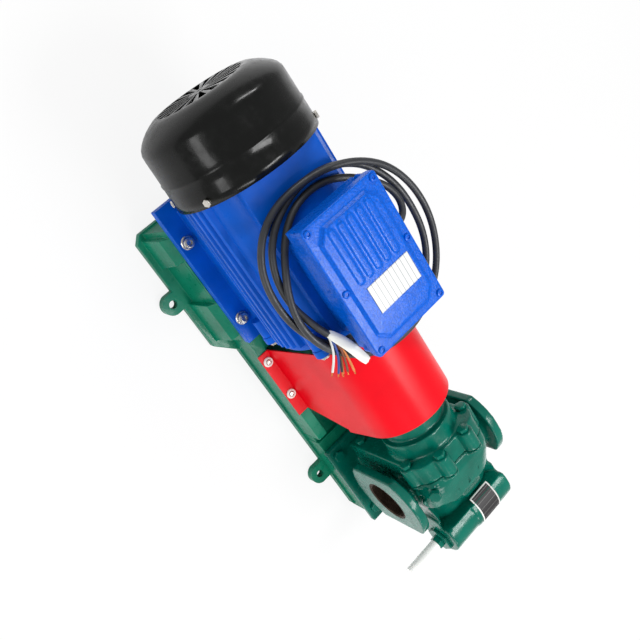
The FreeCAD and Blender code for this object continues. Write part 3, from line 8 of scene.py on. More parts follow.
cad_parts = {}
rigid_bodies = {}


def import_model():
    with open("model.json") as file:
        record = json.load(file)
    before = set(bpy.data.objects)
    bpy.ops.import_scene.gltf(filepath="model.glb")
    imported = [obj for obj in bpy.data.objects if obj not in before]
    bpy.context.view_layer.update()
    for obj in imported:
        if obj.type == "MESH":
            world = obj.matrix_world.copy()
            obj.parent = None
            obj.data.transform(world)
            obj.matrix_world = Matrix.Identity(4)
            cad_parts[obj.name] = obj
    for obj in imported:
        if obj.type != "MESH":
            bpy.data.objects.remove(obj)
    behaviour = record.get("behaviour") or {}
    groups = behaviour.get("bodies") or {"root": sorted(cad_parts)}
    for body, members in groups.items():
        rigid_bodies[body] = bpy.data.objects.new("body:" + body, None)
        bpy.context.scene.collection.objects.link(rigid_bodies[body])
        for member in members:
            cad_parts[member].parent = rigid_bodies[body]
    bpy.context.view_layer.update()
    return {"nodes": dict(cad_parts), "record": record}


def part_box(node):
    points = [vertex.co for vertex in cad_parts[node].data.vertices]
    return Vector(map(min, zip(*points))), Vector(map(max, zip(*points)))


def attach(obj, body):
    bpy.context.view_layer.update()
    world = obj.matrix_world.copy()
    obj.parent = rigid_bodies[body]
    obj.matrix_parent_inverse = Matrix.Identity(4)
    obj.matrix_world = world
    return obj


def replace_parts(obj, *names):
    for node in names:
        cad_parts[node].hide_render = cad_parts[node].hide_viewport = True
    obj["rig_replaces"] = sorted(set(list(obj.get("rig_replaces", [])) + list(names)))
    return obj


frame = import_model()

# The set stands on the floor with the shaft along X. Lengths in the tables below are
# millimetres and become metres where a mesh is made.
MM = 0.001
SHAFT_Z = 190
ROOT = "pump_set"
WELD = 0.00001  # points closer than this, in metres, are one point


def mm(*values):
    return Vector([value * MM for value in values])


# Paints and metals


def shade(red, green, blue):
    """A linear colour from the eight-bit values that a colour card gives."""
    channels = []
    for value in (red, green, blue):
        value = value / 255
        channels.append(value / 12.92 if value <= 0.04045 else ((value + 0.055) / 1.055) ** 2.4)
    return (*channels, 1)


class Finish:
    """A material under construction, with its nodes placed on Object coordinates."""

    def __init__(self, name, rough=0.5, metal=0.0):
        self.material = bpy.data.materials.new(name)
        self.material.use_nodes = True
        self.nodes = self.material.node_tree.nodes
        self.links = self.material.node_tree.links
        self.surface = self.nodes["Principled BSDF"]
        self.surface.inputs["Metallic"].default_value = metal
        self.surface.inputs["Roughness"].default_value = rough
        self.place = self.nodes.new("ShaderNodeTexCoord").outputs["Object"]
        self.height = None

    def use_uv(self):
        self.place = self.nodes.new("ShaderNodeTexCoord").outputs["UV"]

    def set(self, **values):
        for socket, value in values.items():
            self.surface.inputs[socket.replace("_", " ")].default_value = value
        return self

    def cloud(self, scale, detail=3.0, stretch=None, rough=0.5):
        """Soft noise, with cells about one over the scale in metres."""
        place = self.place
        if stretch:
            mapping = self.nodes.new("ShaderNodeMapping")
            mapping.inputs["Scale"].default_value = stretch
            self.links.new(place, mapping.inputs["Vector"])
            place = mapping.outputs["Vector"]
        texture = self.nodes.new("ShaderNodeTexNoise")
        texture.inputs["Scale"].default_value = scale
        texture.inputs["Detail"].default_value = detail
        texture.inputs["Roughness"].default_value = rough
        self.links.new(place, texture.inputs["Vector"])
        return texture.outputs["Fac"]

    def cells(self, scale, feature="SMOOTH_F1"):
        texture = self.nodes.new("ShaderNodeTexVoronoi")
        texture.feature = feature
        texture.inputs["Scale"].default_value = scale
        self.links.new(self.place, texture.inputs["Vector"])
        return texture.outputs["Distance"]

    def ramp(self, source, *stops):
        """Colours by height of the source; each stop is (place, colour)."""
        ramp = self.nodes.new("ShaderNodeValToRGB")
        elements = ramp.color_ramp.elements
        while len(elements) < len(stops):
            elements.new(0.5)
        for element, (at, colour) in zip(elements, stops):
            element.position = at
            element.color = colour
        self.links.new(source, ramp.inputs["Fac"])
        return ramp.outputs["Color"]

    def level(self, source, low, high, start=0.3, end=0.7):
        """A number that runs from low to high as the source runs from start to end."""
        spread = self.nodes.new("ShaderNodeMapRange")
        spread.inputs["From Min"].default_value = start
        spread.inputs["From Max"].default_value = end
        spread.inputs["To Min"].default_value = low
        spread.inputs["To Max"].default_value = high
        self.links.new(source, spread.inputs["Value"])
        return spread.outputs["Result"]

    def mix(self, amount, first, second):
        blend = self.nodes.new("ShaderNodeMix")
        blend.data_type = "RGBA"
        self.links.new(amount, blend.inputs[0])
        for socket, value in ((blend.inputs[6], first), (blend.inputs[7], second)):
            if isinstance(value, tuple):
                socket.default_value = value
            else:
                self.links.new(value, socket)
        return blend.outputs[2]

    def colour(self, source):
        self.links.new(source, self.surface.inputs["Base Color"])
        return self

    def rough(self, source):
        self.links.new(source, self.surface.inputs["Roughness"])
        return self

    def bump(self, source, depth, strength=1.0):
        """Add a relief of a real depth in metres."""
        relief = self.nodes.new("ShaderNodeBump")
        relief.inputs["Distance"].default_value = depth
        relief.inputs["Strength"].default_value = strength
        self.links.new(source, relief.inputs["Height"])
        if self.height is not None:
            self.links.new(self.height, relief.inputs["Normal"])
        self.height = relief.outputs["Normal"]
        self.links.new(self.height, self.surface.inputs["Normal"])
        return self


def darker(colour, share):
    return tuple(channel * share for channel in colour[:3]) + (1,)


def enamel(name, colour, rough=0.28, lump=0.0006, peel=0.00008, coat=0.35, spread=0.82,
           shine=0.2):
    """Brushed or sprayed gloss paint over a casting, with its soft waves and dulled spots."""
    finish = Finish(name, rough)
    finish.colour(finish.ramp(finish.cloud(24, 4), (0.32, darker(colour, spread)),
                              (0.68, darker(colour, 1.12))))
    finish.rough(finish.level(finish.cloud(90, 3), rough - 0.07, rough + 0.12))
    finish.bump(finish.cloud(55, 2), lump)
    finish.bump(finish.cloud(900, 2), peel)
    finish.set(Coat_Weight=coat, Coat_Roughness=0.08, Specular_IOR_Level=shine)
    return finish.material


def hammered(name, colour):
    """Stove enamel that has drawn itself into small shining dimples."""
    finish = Finish(name, 0.27)
    dimples = finish.cells(480)
    finish.colour(finish.mix(finish.level(dimples, 0.0, 1.0, 0.15, 0.6),
                             darker(colour, 0.82), darker(colour, 1.2)))
    finish.rough(finish.level(finish.cloud(160, 3), 0.2, 0.36))
    finish.bump(dimples, 0.00022, 0.8)
    finish.bump(finish.cloud(70, 2), 0.0004)
    finish.set(Coat_Weight=0.08, Coat_Roughness=0.1, Specular_IOR_Level=0.16)
    return finish.material


def metal(name, colour, rough=0.3, lines=(1, 1, 1), wear=0.75):
    """Bare or plated steel with faint tool marks along one way."""
    finish = Finish(name, rough, 1.0)
    finish.colour(finish.ramp(finish.cloud(60, 4), (0.3, darker(colour, wear)), (0.7, colour)))
    finish.rough(finish.level(finish.cloud(220, 3, lines), rough - 0.08, rough + 0.14))
    finish.bump(finish.cloud(1400, 2, lines), 0.00003)
    return finish.material


def moulded(name, colour, rough=0.5, grain=0.00006, scale=1300, spread=0.85, **extra):
    """Moulded plastic or rubber with its fine skin."""
    finish = Finish(name, rough)
    finish.colour(finish.ramp(finish.cloud(40, 3), (0.3, darker(colour, spread)), (0.7, colour)))
    finish.rough(finish.level(finish.cloud(120, 3), rough - 0.06, rough + 0.1))
    finish.bump(finish.cloud(scale, 2), grain)
    finish.set(**extra)
    return finish.material


def guard_paint():
    """Red paint on sheet steel with a fine sparkling grain."""
    colour = shade(222, 0, 22)
    finish = Finish("guard_red", 0.34)
    grain = finish.cloud(1500, 2)
    finish.colour(finish.ramp(finish.cloud(14, 3), (0.3, darker(colour, 0.86)),
                              (0.7, darker(colour, 1.08))))
    finish.rough(finish.level(grain, 0.24, 0.46))
    finish.bump(grain, 0.00005)
    finish.bump(finish.cloud(9, 2), 0.0012)
    finish.set(Coat_Weight=0.04, Coat_Roughness=0.2, Specular_IOR_Level=0.15)
    return finish.material


def ruled_label(name, ground, ink, pitch, thickness, rough, metallic=0.0):
    """A blank plate with ruled fields: thin lines across it at an even pitch."""
    finish = Finish(name, rough, metallic)
    finish.use_uv()
    split = finish.nodes.new("ShaderNodeSeparateXYZ")
    finish.links.new(finish.place, split.inputs["Vector"])
    wave = finish.nodes.new("ShaderNodeMath")
    wave.operation = "PINGPONG"
    wave.inputs[1].default_value = pitch
    finish.links.new(split.outputs["Y"], wave.inputs[0])
    line = finish.nodes.new("ShaderNodeMath")
    line.operation = "LESS_THAN"
    line.inputs[1].default_value = thickness
    finish.links.new(wave.outputs["Value"], line.inputs[0])
    finish.colour(finish.mix(line.outputs["Value"], ground, ink))
    return finish.material


BLUE = shade(0, 84, 190)
GREEN = shade(0, 98, 82)
BED_GREEN = shade(4, 116, 88)
FINISHES = {
    "green_enamel": enamel("green_enamel", GREEN, 0.2, 0.0007, 0.00008, 0.16, 0.8),
    "green_bed": enamel("green_bed", BED_GREEN, 0.3, 0.0006, 0.0001, 0.1),
    "motor_blue": enamel("motor_blue", BLUE, 0.34, 0.0003, 0.00008, 0.03, 0.9, 0.13),
    "box_blue": hammered("box_blue", BLUE),
    "black_gloss": enamel("black_gloss", shade(12, 13, 12), 0.2, 0.00015, 0.00003, 0.12, 0.82,
                          0.16),
    "guard_red": guard_paint(),
    "zinc_steel": metal("zinc_steel", shade(214, 210, 202), 0.26),
    "machined_steel": metal("machined_steel", shade(186, 188, 192), 0.3, (0.1, 1, 1)),
    "bare_iron": metal("bare_iron", shade(74, 60, 50), 0.55, (1, 1, 1), 0.4),
    "lamination": metal("lamination", shade(120, 120, 122), 0.45, (8, 0.3, 0.3)),
    "copper_winding": metal("copper_winding", shade(176, 96, 44), 0.35, (0.2, 1, 1)),
    "fan_plastic": moulded("fan_plastic", shade(40, 40, 42), 0.5),
    "board_plastic": moulded("board_plastic", shade(84, 56, 38), 0.45),
    "white_washer": moulded("white_washer", shade(238, 234, 228), 0.35),
    "spider_rubber": moulded("spider_rubber", shade(150, 40, 36), 0.6),
    "gasket_paper": moulded("gasket_paper", shade(140, 112, 74), 0.8, 0.0001, 700),
    "packing": moulded("packing", shade(58, 58, 56), 0.7, 0.0002, 500),
    "bronze": metal("bronze", shade(190, 146, 84), 0.3, (0.1, 1, 1)),
    "spring_steel": metal("spring_steel", shade(150, 152, 156), 0.28),
    "sleeve_plastic": moulded("sleeve_plastic", shade(252, 253, 250), 0.3, 0.00004, 600, 0.93,
                              Transmission_Weight=0.06, IOR=1.42),
    "cord_rubber": moulded("cord_rubber", shade(44, 46, 50), 0.42, 0.00008, 1600, 0.75),
    "cord_filler": moulded("cord_filler", shade(232, 232, 224), 0.75, 0.0004, 420),
    "gland_nylon": moulded("gland_nylon", shade(34, 34, 36), 0.45),
    "label_white": ruled_label("label_white", shade(206, 208, 207), shade(140, 143, 146),
                               0.05, 0.006, 0.35),
    "label_dark": ruled_label("label_dark", shade(26, 24, 26), shade(118, 118, 116),
                              0.09, 0.005, 0.55),
    "label_edge": moulded("label_edge", shade(226, 226, 222), 0.35),
}
CORE_COLOURS = {
    "core_white": shade(228, 226, 220), "core_blue": shade(36, 70, 150),
    "core_black": shade(40, 38, 40), "core_brown": shade(120, 66, 40),
    "core_orange": shade(214, 128, 62),
}
for core_name, core_colour in CORE_COLOURS.items():
    FINISHES[core_name] = moulded(core_name, core_colour, 0.35)
FINISHES["core_copper"] = metal("core_copper", shade(224, 128, 74), 0.25, (1, 1, 0.1))
FINISHES["core_colours"] = FINISHES["core_orange"]

body_of = {node: body for body, members in frame["record"]["behaviour"]["bodies"].items()
           for node in members}
slot_of = {part["node"]: part["material_slot"] for part in frame["record"]["subparts"]}


# Ways of making a piece


def coat(obj, finish):
    obj.data.materials.clear()
    obj.data.materials.append(FINISHES[finish])
    return obj


def add_piece(name, mesh, finish, nodes=(), body=ROOT):
    """Put a finished mesh in the scene, on its body, in place of the nodes it stands for."""
    obj = bpy.data.objects.new(name, mesh)
    bpy.context.scene.collection.objects.link(obj)
    if finish:
        coat(obj, finish)
    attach(obj, body)
    if nodes:
        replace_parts(obj, *nodes)
    return obj


def mesh_from(bm, name, smooth=35):
    """Turn a bmesh into a mesh whose gentle edges are shaded round."""
    bmesh.ops.recalc_face_normals(bm, faces=bm.faces)
    mesh = bpy.data.meshes.new(name)
    bm.to_mesh(mesh)
    bm.free()
    shade_round(mesh, smooth)
    return mesh


def shade_round(mesh, angle):
    mesh.polygons.foreach_set("use_smooth", [True] * len(mesh.polygons))
    mesh.set_sharp_from_angle(angle=math.radians(angle))
    mesh.update()


def merged_copy(node):
    """A joined-up copy of a CAD node's loose triangles, with flat faces made whole."""
    bm = bmesh.new()
    bm.from_mesh(frame["nodes"][node].data)
    bmesh.ops.remove_doubles(bm, verts=bm.verts, dist=0.000004)
    bmesh.ops.dissolve_limit(bm, angle_limit=math.radians(0.6), verts=bm.verts,
                             edges=bm.edges, delimit={"NORMAL"})
    return bm


def ease_edges(bm, width, smooth=32, shortest=0.0):
    """Round off the sharp edges of a merged mesh, apart from the ones that are too short."""
    sharp = [edge for edge in bm.edges if len(edge.link_faces) == 2
             and edge.calc_face_angle() > math.radians(smooth)
             and edge.calc_length() > shortest * MM]
    bmesh.ops.bevel(bm, geom=sharp, offset=width * MM, offset_type="OFFSET", segments=2,
                    profile=0.5, affect="EDGES", clamp_overlap=False, material=-1)


def eased(node, width, shortest=0.0, smooth=32):
    """The node's own shape with its sharp edges eased as paint and casting leave them."""
    bm = merged_copy(node)
    ease_edges(bm, width, smooth, shortest)
    low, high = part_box(node)
    for vertex in bm.verts:
        vertex.co = [min(max(at, least), most) for at, least, most in zip(vertex.co, low, high)]
    mesh = bpy.data.meshes.new(node + "_eased")
    bm.to_mesh(mesh)
    bm.free()
    shade_round(mesh, 40)
    obj = add_piece(node + "_eased", mesh, slot_of[node], [node], body_of[node])
    flats = obj.modifiers.new("flats", "WEIGHTED_NORMAL")
    flats.keep_sharp = True
    return obj


def one_skin(bm, name, voxel, passes, pressed=None):
    """One skin over closed shapes that run into each other, softened as sand casting leaves it."""
    mesh = bpy.data.meshes.new(name + "_source")
    bm.to_mesh(mesh)
    bm.free()
    source = bpy.data.objects.new(name + "_source", mesh)
    bpy.context.scene.collection.objects.link(source)
    skin = source.modifiers.new("skin", "REMESH")
    skin.mode = "VOXEL"
    skin.voxel_size = voxel * MM
    graph = bpy.context.evaluated_depsgraph_get()
    result = bpy.data.meshes.new_from_object(source.evaluated_get(graph))
    bpy.data.objects.remove(source)
    bm = bmesh.new()
    bm.from_mesh(result)
    if pressed:
        for vertex in bm.verts:
            pressed(vertex.co)
    for _ in range(passes):
        bmesh.ops.smooth_vert(bm, verts=bm.verts, factor=0.5, use_axis_x=True, use_axis_y=True,
                              use_axis_z=True)
    bm.to_mesh(result)
    bm.free()
    shade_round(result, 60)
    return result


def cast_skin(name, node, voxel, passes):
    bm = merged_copy(node)
    mesh = one_skin(bm, name, voxel, passes)
    return add_piece(name, mesh, slot_of[node], [node], body_of[node])


def turned_piece(profile, centre, axis, steps=64):
    """A bmesh of revolution from (along, radius) corners in millimetres."""
    bm = bmesh.new()
    across = Vector((0, 0, 1)) if axis != "z" else Vector((0, 1, 0))
    forward = {"x": Vector((1, 0, 0)), "y": Vector((0, 1, 0)), "z": Vector((0, 0, 1))}[axis]
    verts = [bm.verts.new(centre + (forward * along + across * radius) * MM)
             for along, radius in profile]
    edges = [bm.edges.new(pair) for pair in zip(verts, verts[1:])]
    bmesh.ops.spin(bm, geom=verts + edges, cent=centre, axis=forward, dvec=(0, 0, 0),
                   angle=math.tau, steps=steps, use_merge=True)
    bmesh.ops.remove_doubles(bm, verts=bm.verts, dist=WELD)
    return bm


def fold_in(target, source):
    """Add one bmesh to another."""
    mesh = bpy.data.meshes.new("part")
    source.to_mesh(mesh)
    source.free()
    target.from_mesh(mesh)
    bpy.data.meshes.remove(mesh)


def raised_outline(bm, corners, low, high, ease):
    """A raised plate from (x, y) corners, with its upper edge eased."""
    verts = [bm.verts.new(mm(x, y, low)) for x, y in corners]
    face = bm.faces.new(verts)
    grown = bmesh.ops.extrude_face_region(bm, geom=[face])
    top = [item for item in grown["geom"] if isinstance(item, bmesh.types.BMVert)]
    bmesh.ops.translate(bm, verts=top, vec=mm(0, 0, high - low))
    rim = [edge for edge in bm.edges if edge.verts[0] in top and edge.verts[1] in top]
    if ease:
        bmesh.ops.bevel(bm, geom=rim, offset=ease * MM, segments=3, profile=0.5, affect="EDGES",
                        material=-1, clamp_overlap=True)


def rounded_corners(half_x, half_y, radius, steps=5):
    corners = []
    for quadrant, (sx, sy) in enumerate(((1, 1), (-1, 1), (-1, -1), (1, -1))):
        for step in range(steps + 1):
            turn = math.pi / 2 * (quadrant + step / steps)
            corners.append((sx * (half_x - radius) + radius * math.cos(turn),
                            sy * (half_y - radius) + radius * math.sin(turn)))
    return corners


# Camera, as the photograph was taken
camera_data = bpy.data.cameras.new("camera")
camera_data.lens = 45.14
camera_data.sensor_width = 36
camera_data.clip_start = 0.05
camera = bpy.data.objects.new("camera", camera_data)
bpy.context.scene.collection.objects.link(camera)
right = Vector((0.50954, 0.68496, 0.52077))
down = Vector((0.75643, -0.64505, 0.1083))
ahead = Vector((0.4101, 0.33874, -0.8468))
turn = Matrix((right, -down, -ahead)).transposed().to_4x4()
camera.matrix_world = Matrix.Translation((-0.3682, -0.4268, 1.1630)) @ turn
bpy.context.scene.camera = camera


# Cord: out of the gland, two and a half loose turns on the motor, and a stripped end
COIL_CENTRE = (24, 15)
CORD_DIAMETER = 10
# Turns of the cord as (angle in degrees, radius, height of its middle)
CORD_TURNS = (
    (118, 106, 282.5), (146, 103, 279.5), (168, 106, 279.3), (189, 107, 279.3),
    (207, 106, 281), (224, 105, 285), (241, 106, 289.6), (258, 111, 290.2), (275, 118, 290.2),
    (293, 124, 290.2), (310, 127, 289.5), (330, 132, 286.5), (350, 138, 281),
    (370, 142, 279.3), (390, 144, 279.3), (410, 144, 279.3), (432, 141, 279.3),
    (454, 136, 281), (477, 130, 286), (499, 124, 289.8), (521, 121, 289.8), (544, 124, 289),
    (565, 132, 284.5), (581, 135, 280.5), (596, 134, 279.3), (610, 130, 279.3),
    (626, 125, 279.3), (642, 122, 279.3), (662, 121, 279.3), (690, 119, 279.3),
    (718, 119, 279.3), (742, 123, 279.3), (764, 127, 279.3), (788, 123, 279.3),
    (816, 118, 279.3), (838, 119, 279.3), (859, 121.5, 279.3), (881, 121.5, 279.3),
    (904, 121, 279.3), (927, 121, 279.3), (946, 120, 279.3), (961, 116.5, 279.3),
    (975, 112, 279.5), (988, 108.5, 281.5),
)
LEAD_POINTS = ((30, 74, 290), (30, 88, 290), (29, 103, 289), (19, 115, 287), (0, 119, 284.5))
END_POINTS = ((36, -92.5, 285), (51, -89.5, 290), (64, -86, 293.5), (78, -80, 296))
TURN_ALLOWANCE = 1.013


def cord_route():
    points = [mm(*point) for point in LEAD_POINTS]
    for angle, radius, height in CORD_TURNS:
        spread = radius * TURN_ALLOWANCE
        at = math.radians(angle)
        points.append(mm(COIL_CENTRE[0] + spread * math.cos(at),
                         COIL_CENTRE[1] + spread * math.sin(at), height))
    return points + [mm(*point) for point in END_POINTS]


def smooth_curve(name, points, radius, finish, sides=6):
    """A round strand whose middle line is one smooth spline."""
    curve = bpy.data.curves.new(name, "CURVE")
    curve.dimensions = "3D"
    curve.resolution_u = 8
    curve.bevel_depth = radius * MM
    curve.bevel_resolution = sides
    curve.use_fill_caps = True
    spline = curve.splines.new("NURBS")
    spline.points.add(len(points) - 1)
    for point, at in zip(spline.points, points):
        point.co = (*at, 1)
    spline.order_u = 3
    spline.use_endpoint_u = True
    spline.resolution_u = 8
    return add_piece(name, curve, finish, ())


cord = smooth_curve("supply_cord", cord_route(), CORD_DIAMETER / 2, "cord_rubber")
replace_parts(cord, "cord_coil", "cord_lead")


def core_piece(name, points, finish):
    """One insulated core of the cord with a bare copper tip."""
    core = smooth_curve(name, [mm(*point) for point in points], CORE_RADIUS, finish, 4)
    tip = Vector(points[-1])
    back = (tip - Vector(points[-2])).normalized()
    wire = smooth_curve(name + "_tip", [(tip - back) * MM, (tip + back * 3) * MM,
                                        (tip + back * 6) * MM],
                        WIRE_RADIUS, "core_copper", 3)
    return [core, wire]


CORES = (
    ("core_white_a", "core_white",
     ((77, -82, 295), (92, -86, 296), (110, -94, 293), (124, -103, 287))),
    ("core_blue_a", "core_blue",
     ((77, -81, 297), (94, -83, 298), (114, -89, 295), (131, -97, 288))),
    ("core_black_a", "core_black",
     ((78, -80, 294), (95, -82, 295), (116, -86, 292), (134, -91, 286))),
    ("core_brown_a", "core_brown",
     ((78, -79, 297.5), (96, -79, 299), (118, -81, 296), (138, -85, 289))),
    ("core_orange_a", "core_orange",
     ((78, -79, 295), (97, -77, 297), (121, -76, 295), (144, -77, 289))),
    ("core_orange_b", "core_orange",
     ((78, -81, 293.5), (96, -80, 293), (119, -82, 289), (140, -89, 281))),
)
CORE_RADIUS, WIRE_RADIUS = 1.7, 1.1
core_pieces = []
for core_label, core_finish, core_points in CORES:
    core_pieces += core_piece(core_label, core_points, core_finish)


def filler_strip():
    """The white fibre wrap that is folded back from the stripped end, flat and frayed."""
    line = ((72, -82, 296.5), (84, -77, 300), (97, -71, 302), (112, -66.5, 302.5),
            (128, -62, 301.5), (142, -57, 300))
    widths = (5.2, 7.0, 7.8, 7.2, 7.4, 6.2)
    bm = bmesh.new()
    bmesh.ops.create_grid(bm, x_segments=len(line) - 1, y_segments=6, size=1)
    for vertex in bm.verts:
        index = round((vertex.co.x + 1) / 2 * (len(line) - 1))
        across = vertex.co.y
        along = (Vector(line[min(index + 1, len(line) - 1)])
                 - Vector(line[max(index - 1, 0)])).normalized()
        side = along.cross(Vector((0, 0, 1))).normalized()
        lift = side.cross(along)
        crown = 2.6 * (1 - across * across) + 0.5 * math.sin(index * 2.1 + across * 5)
        fray = 5 * math.sin(across * 9) if index == len(line) - 1 else 0
        vertex.co = (Vector(line[index]) + along * fray + side * across * widths[index]
                     + lift * crown) * MM
    mesh = mesh_from(bm, "filler_wrap", 80)
    wrap = add_piece("filler_wrap", mesh, "cord_filler", ["cord_tail"])
    thick = wrap.modifiers.new("thickness", "SOLIDIFY")
    thick.thickness = 0.0016
    thick.offset = 0
    smoother = wrap.modifiers.new("soft", "SUBSURF")
    smoother.levels = smoother.render_levels = 2
    return wrap


filler_wrap = filler_strip()
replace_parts(core_pieces[0], "cord_conductors")


# Terminal box lid
LID_X, LID_TOP = 22.5, 354.6
LID_HALF = (98.5, 65)


def build_lid():
    """Cast lid: rounded plate, clipped-corner panel in two steps, and five raised loops."""
    base, top = 342, LID_TOP
    loop_start, loop_end, loop_radius, loop_pitch, loops = -51, 20.5, 4.8, 16, 5
    bm = bmesh.new()
    plate = [(x + LID_X, y) for x, y in rounded_corners(*LID_HALF, 5)]
    raised_outline(bm, plate, base, top, 1.6)
    for inset, low, high, clip in ((13, top - 1, top + 1.6, 15), (15.5, top + 1, top + 4, 13.5)):
        half_x, half_y = LID_HALF[0] - inset, LID_HALF[1] - inset
        corners = []
        for sx, sy in ((1, 1), (-1, 1), (-1, -1), (1, -1)):
            pair = [(sx * (half_x - clip), sy * half_y), (sx * half_x, sy * (half_y - clip))]
            corners += pair if sx * sy < 0 else pair[::-1]
        part = bmesh.new()
        raised_outline(part, [(x + LID_X, y) for x, y in corners], low, high, 0.9)
        fold_in(bm, part)
    for index in range(loops):
        y = (index - (loops - 1) / 2) * loop_pitch
        loop = []
        for end, start_angle in ((loop_start, math.pi / 2), (loop_end, -math.pi / 2)):
            for step in range(9):
                at = start_angle + math.pi * step / 8
                loop.append((end + loop_radius * math.cos(at), y + loop_radius * math.sin(at)))
        part = bmesh.new()
        raised_outline(part, loop, top + 3, top + 5.8, 1.1)
        fold_in(bm, part)
    bmesh.ops.recalc_face_normals(bm, faces=bm.faces)
    result = one_skin(bm, "lid_casting", 1.0, 2)
    return add_piece("lid_casting", result, "box_blue", ["terminal_box_lid"])


build_lid()


def socket_head(centre, axis, radius, height, socket):
    """A round screw head with a domed edge and a sunk socket."""
    return turned_piece([(0, 0), (0, radius), (height * 0.55, radius),
                         (height * 0.85, radius * 0.9), (height, radius * 0.68),
                         (height, radius * socket), (height * 0.45, radius * socket * 0.9),
                         (height * 0.4, 0)], mm(*centre), axis, 28)


def screw_set(name, places, axis, radius, height, finish, nodes, socket=0.5):
    """All the heads of one node in one piece."""
    bm = bmesh.new()
    for place in places:
        fold_in(bm, socket_head(place, axis, radius, height, socket))
    return add_piece(name, mesh_from(bm, name, 35), finish, nodes)


lid_screw_places = [(LID_X + step * 90.5, side * 57, LID_TOP - 0.2)
                    for side in (-1, 1) for step in (-1, 0, 1)]
screw_set("lid_screw_heads", lid_screw_places, "z", 5.2, 3, "box_blue", ["lid_screws"],
          0.55)
guard_places = [(x, side * 101, 71.5) for side in (-1, 1) for x in (152.5, 220.5)]
screw_set("guard_screw_heads", guard_places, "z", 4.4, 2.6, "zinc_steel", ["guard_screws"])
bm = bmesh.new()
for x, y, z in guard_places:
    fold_in(bm, turned_piece([(-1.5, 3.2), (-1.5, 7.8), (-0.6, 8.2), (0.9, 7.6), (1.3, 6.4),
                              (1.0, 5.0), (-0.2, 4.6), (-0.4, 3.2), (-1.5, 3.2)],
                             mm(x, y, z), "z", 36))
add_piece("guard_cup_washers", mesh_from(bm, "guard_cup_washers", 50), "white_washer",
          ["guard_washers"])

# Motor foot bolts: domed washers with socket heads
foot_places = [(x, side * 100, 93) for side in (-1, 1) for x in (-81, 59)]
bm = bmesh.new()
for x, y, z in foot_places:
    fold_in(bm, turned_piece([(0, 5.2), (0, 10.5), (0.7, 10.5), (2, 9.2), (2.1, 5.2), (0, 5.2)],
                             mm(x, y, z), "z", 40))
add_piece("foot_dish_washers", mesh_from(bm, "foot_dish_washers", 35), "zinc_steel",
          ["motor_foot_washers"])
screw_set("foot_bolt_heads", [(x, y, z + 2) for x, y, z in foot_places], "z", 8.4, 6.5,
          "zinc_steel", ["motor_foot_bolts"], 0.5)


# Blank plates


def plate_grid(name, shape, rims, finish, border, nodes, cells=(8, 24)):
    """A thin blank plate: a grid bent by shape(u, v), with a rim of its own finish."""
    bm = bmesh.new()
    uv = bm.loops.layers.uv.new("plate")
    counts = (cells[0] + 2, cells[1] + 2)
    bmesh.ops.create_grid(bm, x_segments=counts[0], y_segments=counts[1], size=1)
    places = {}
    for vertex in bm.verts:
        place = []
        for value, count, rim in zip((vertex.co.x, vertex.co.y), counts, rims):
            step = round((value + 1) / 2 * count)
            inner = rim + (1 - 2 * rim) * (step - 1) / (count - 2)
            place.append(0 if step == 0 else 1 if step == count else inner)
        places[vertex] = place
    on_rim = []
    for face in bm.faces:
        middle = face.calc_center_median()
        on_rim.append(abs(middle.x) > 1 - 1.9 / counts[0] or abs(middle.y) > 1 - 1.9 / counts[1])
        for loop in face.loops:
            loop[uv].uv = places[loop.vert]
    for vertex, place in places.items():
        vertex.co = shape(*place)
    mesh = mesh_from(bm, name, 40)
    obj = add_piece(name, mesh, finish, nodes)
    obj.data.materials.append(FINISHES[border])
    obj.data.polygons.foreach_set("material_index", [int(rim) for rim in on_rim])
    thick = obj.modifiers.new("thickness", "SOLIDIFY")
    thick.thickness = 0.0007
    thick.offset = -1
    return obj


def on_lid(u, v):
    """The blank plate on the lid's panel."""
    return mm(34 + 40 * u, -31 + 75 * v, 359.3)


# The valve barrel swells past the plain cylinder of its bore
BARREL = (543, 180)
BARREL_NEAR, BARREL_FAR, BARREL_STEP = 40, 42, -8


def on_barrel(u, v):
    """The blank plate bent round the barrel's wide end."""
    at, radius = math.radians(50 + 81 * v), BARREL_FAR + 0.8
    return mm(BARREL[0] + radius * math.cos(at), 43 * u - 5, BARREL[1] + radius * math.sin(at))


plate_grid("lid_blank_plate", on_lid, (0.03, 0.016), "label_white", "label_white", ["lid_plate"])
plate_grid("pump_blank_plate", on_barrel, (0.055, 0.04), "label_dark", "label_edge",
           ["pump_plate"])

# Bare mouths of the ports: a rim, eleven threads and a plain bore, by distance and radius
PORT = (439, 155)
FLANGE_FACE, THREAD_PITCH = 102.2, 2.3
bm = bmesh.new()
for side in (-1, 1):
    profile = [(side * FLANGE_FACE, 38.5)]
    for index in range(11):
        along = FLANGE_FACE - index * THREAD_PITCH
        profile += [(side * along, 36.6), (side * (along - THREAD_PITCH / 2), 35.2)]
    profile += [(side * 76, 35.6), (side * 76, 27.5), (side * 70, 27.2), (side * 30, 27.2)]
    fold_in(bm, turned_piece(profile, mm(PORT[0], 0, PORT[1]), "y", 56))
mouths = add_piece("port_threads", mesh_from(bm, "port_threads", 50), "bare_iron", ())
lining = mouths.modifiers.new("thickness", "SOLIDIFY")
lining.thickness = 0.0008
lining.offset = 1

# Castings and sheet metal
CASE_FRONT, CASE_REAR, COVER_REAR = 412, 473, 523
CASE_TOP, CASE_HALF, CORNER = 256, 70, 32
NECK_REACH = 59


def case_top(x, y):
    """Height of the smooth pump body, which falls from its bosses to the wide barrel."""
    if x < CASE_REAR:
        return CASE_TOP - 0.33 * max(0, x - 422)
    edge = min(-9, 1.265 * (x - CASE_REAR) - 52)
    share = min(1, max(0, (y - edge) / 8))
    return 196 + (42 - 0.75 * (x - CASE_REAR)) * share


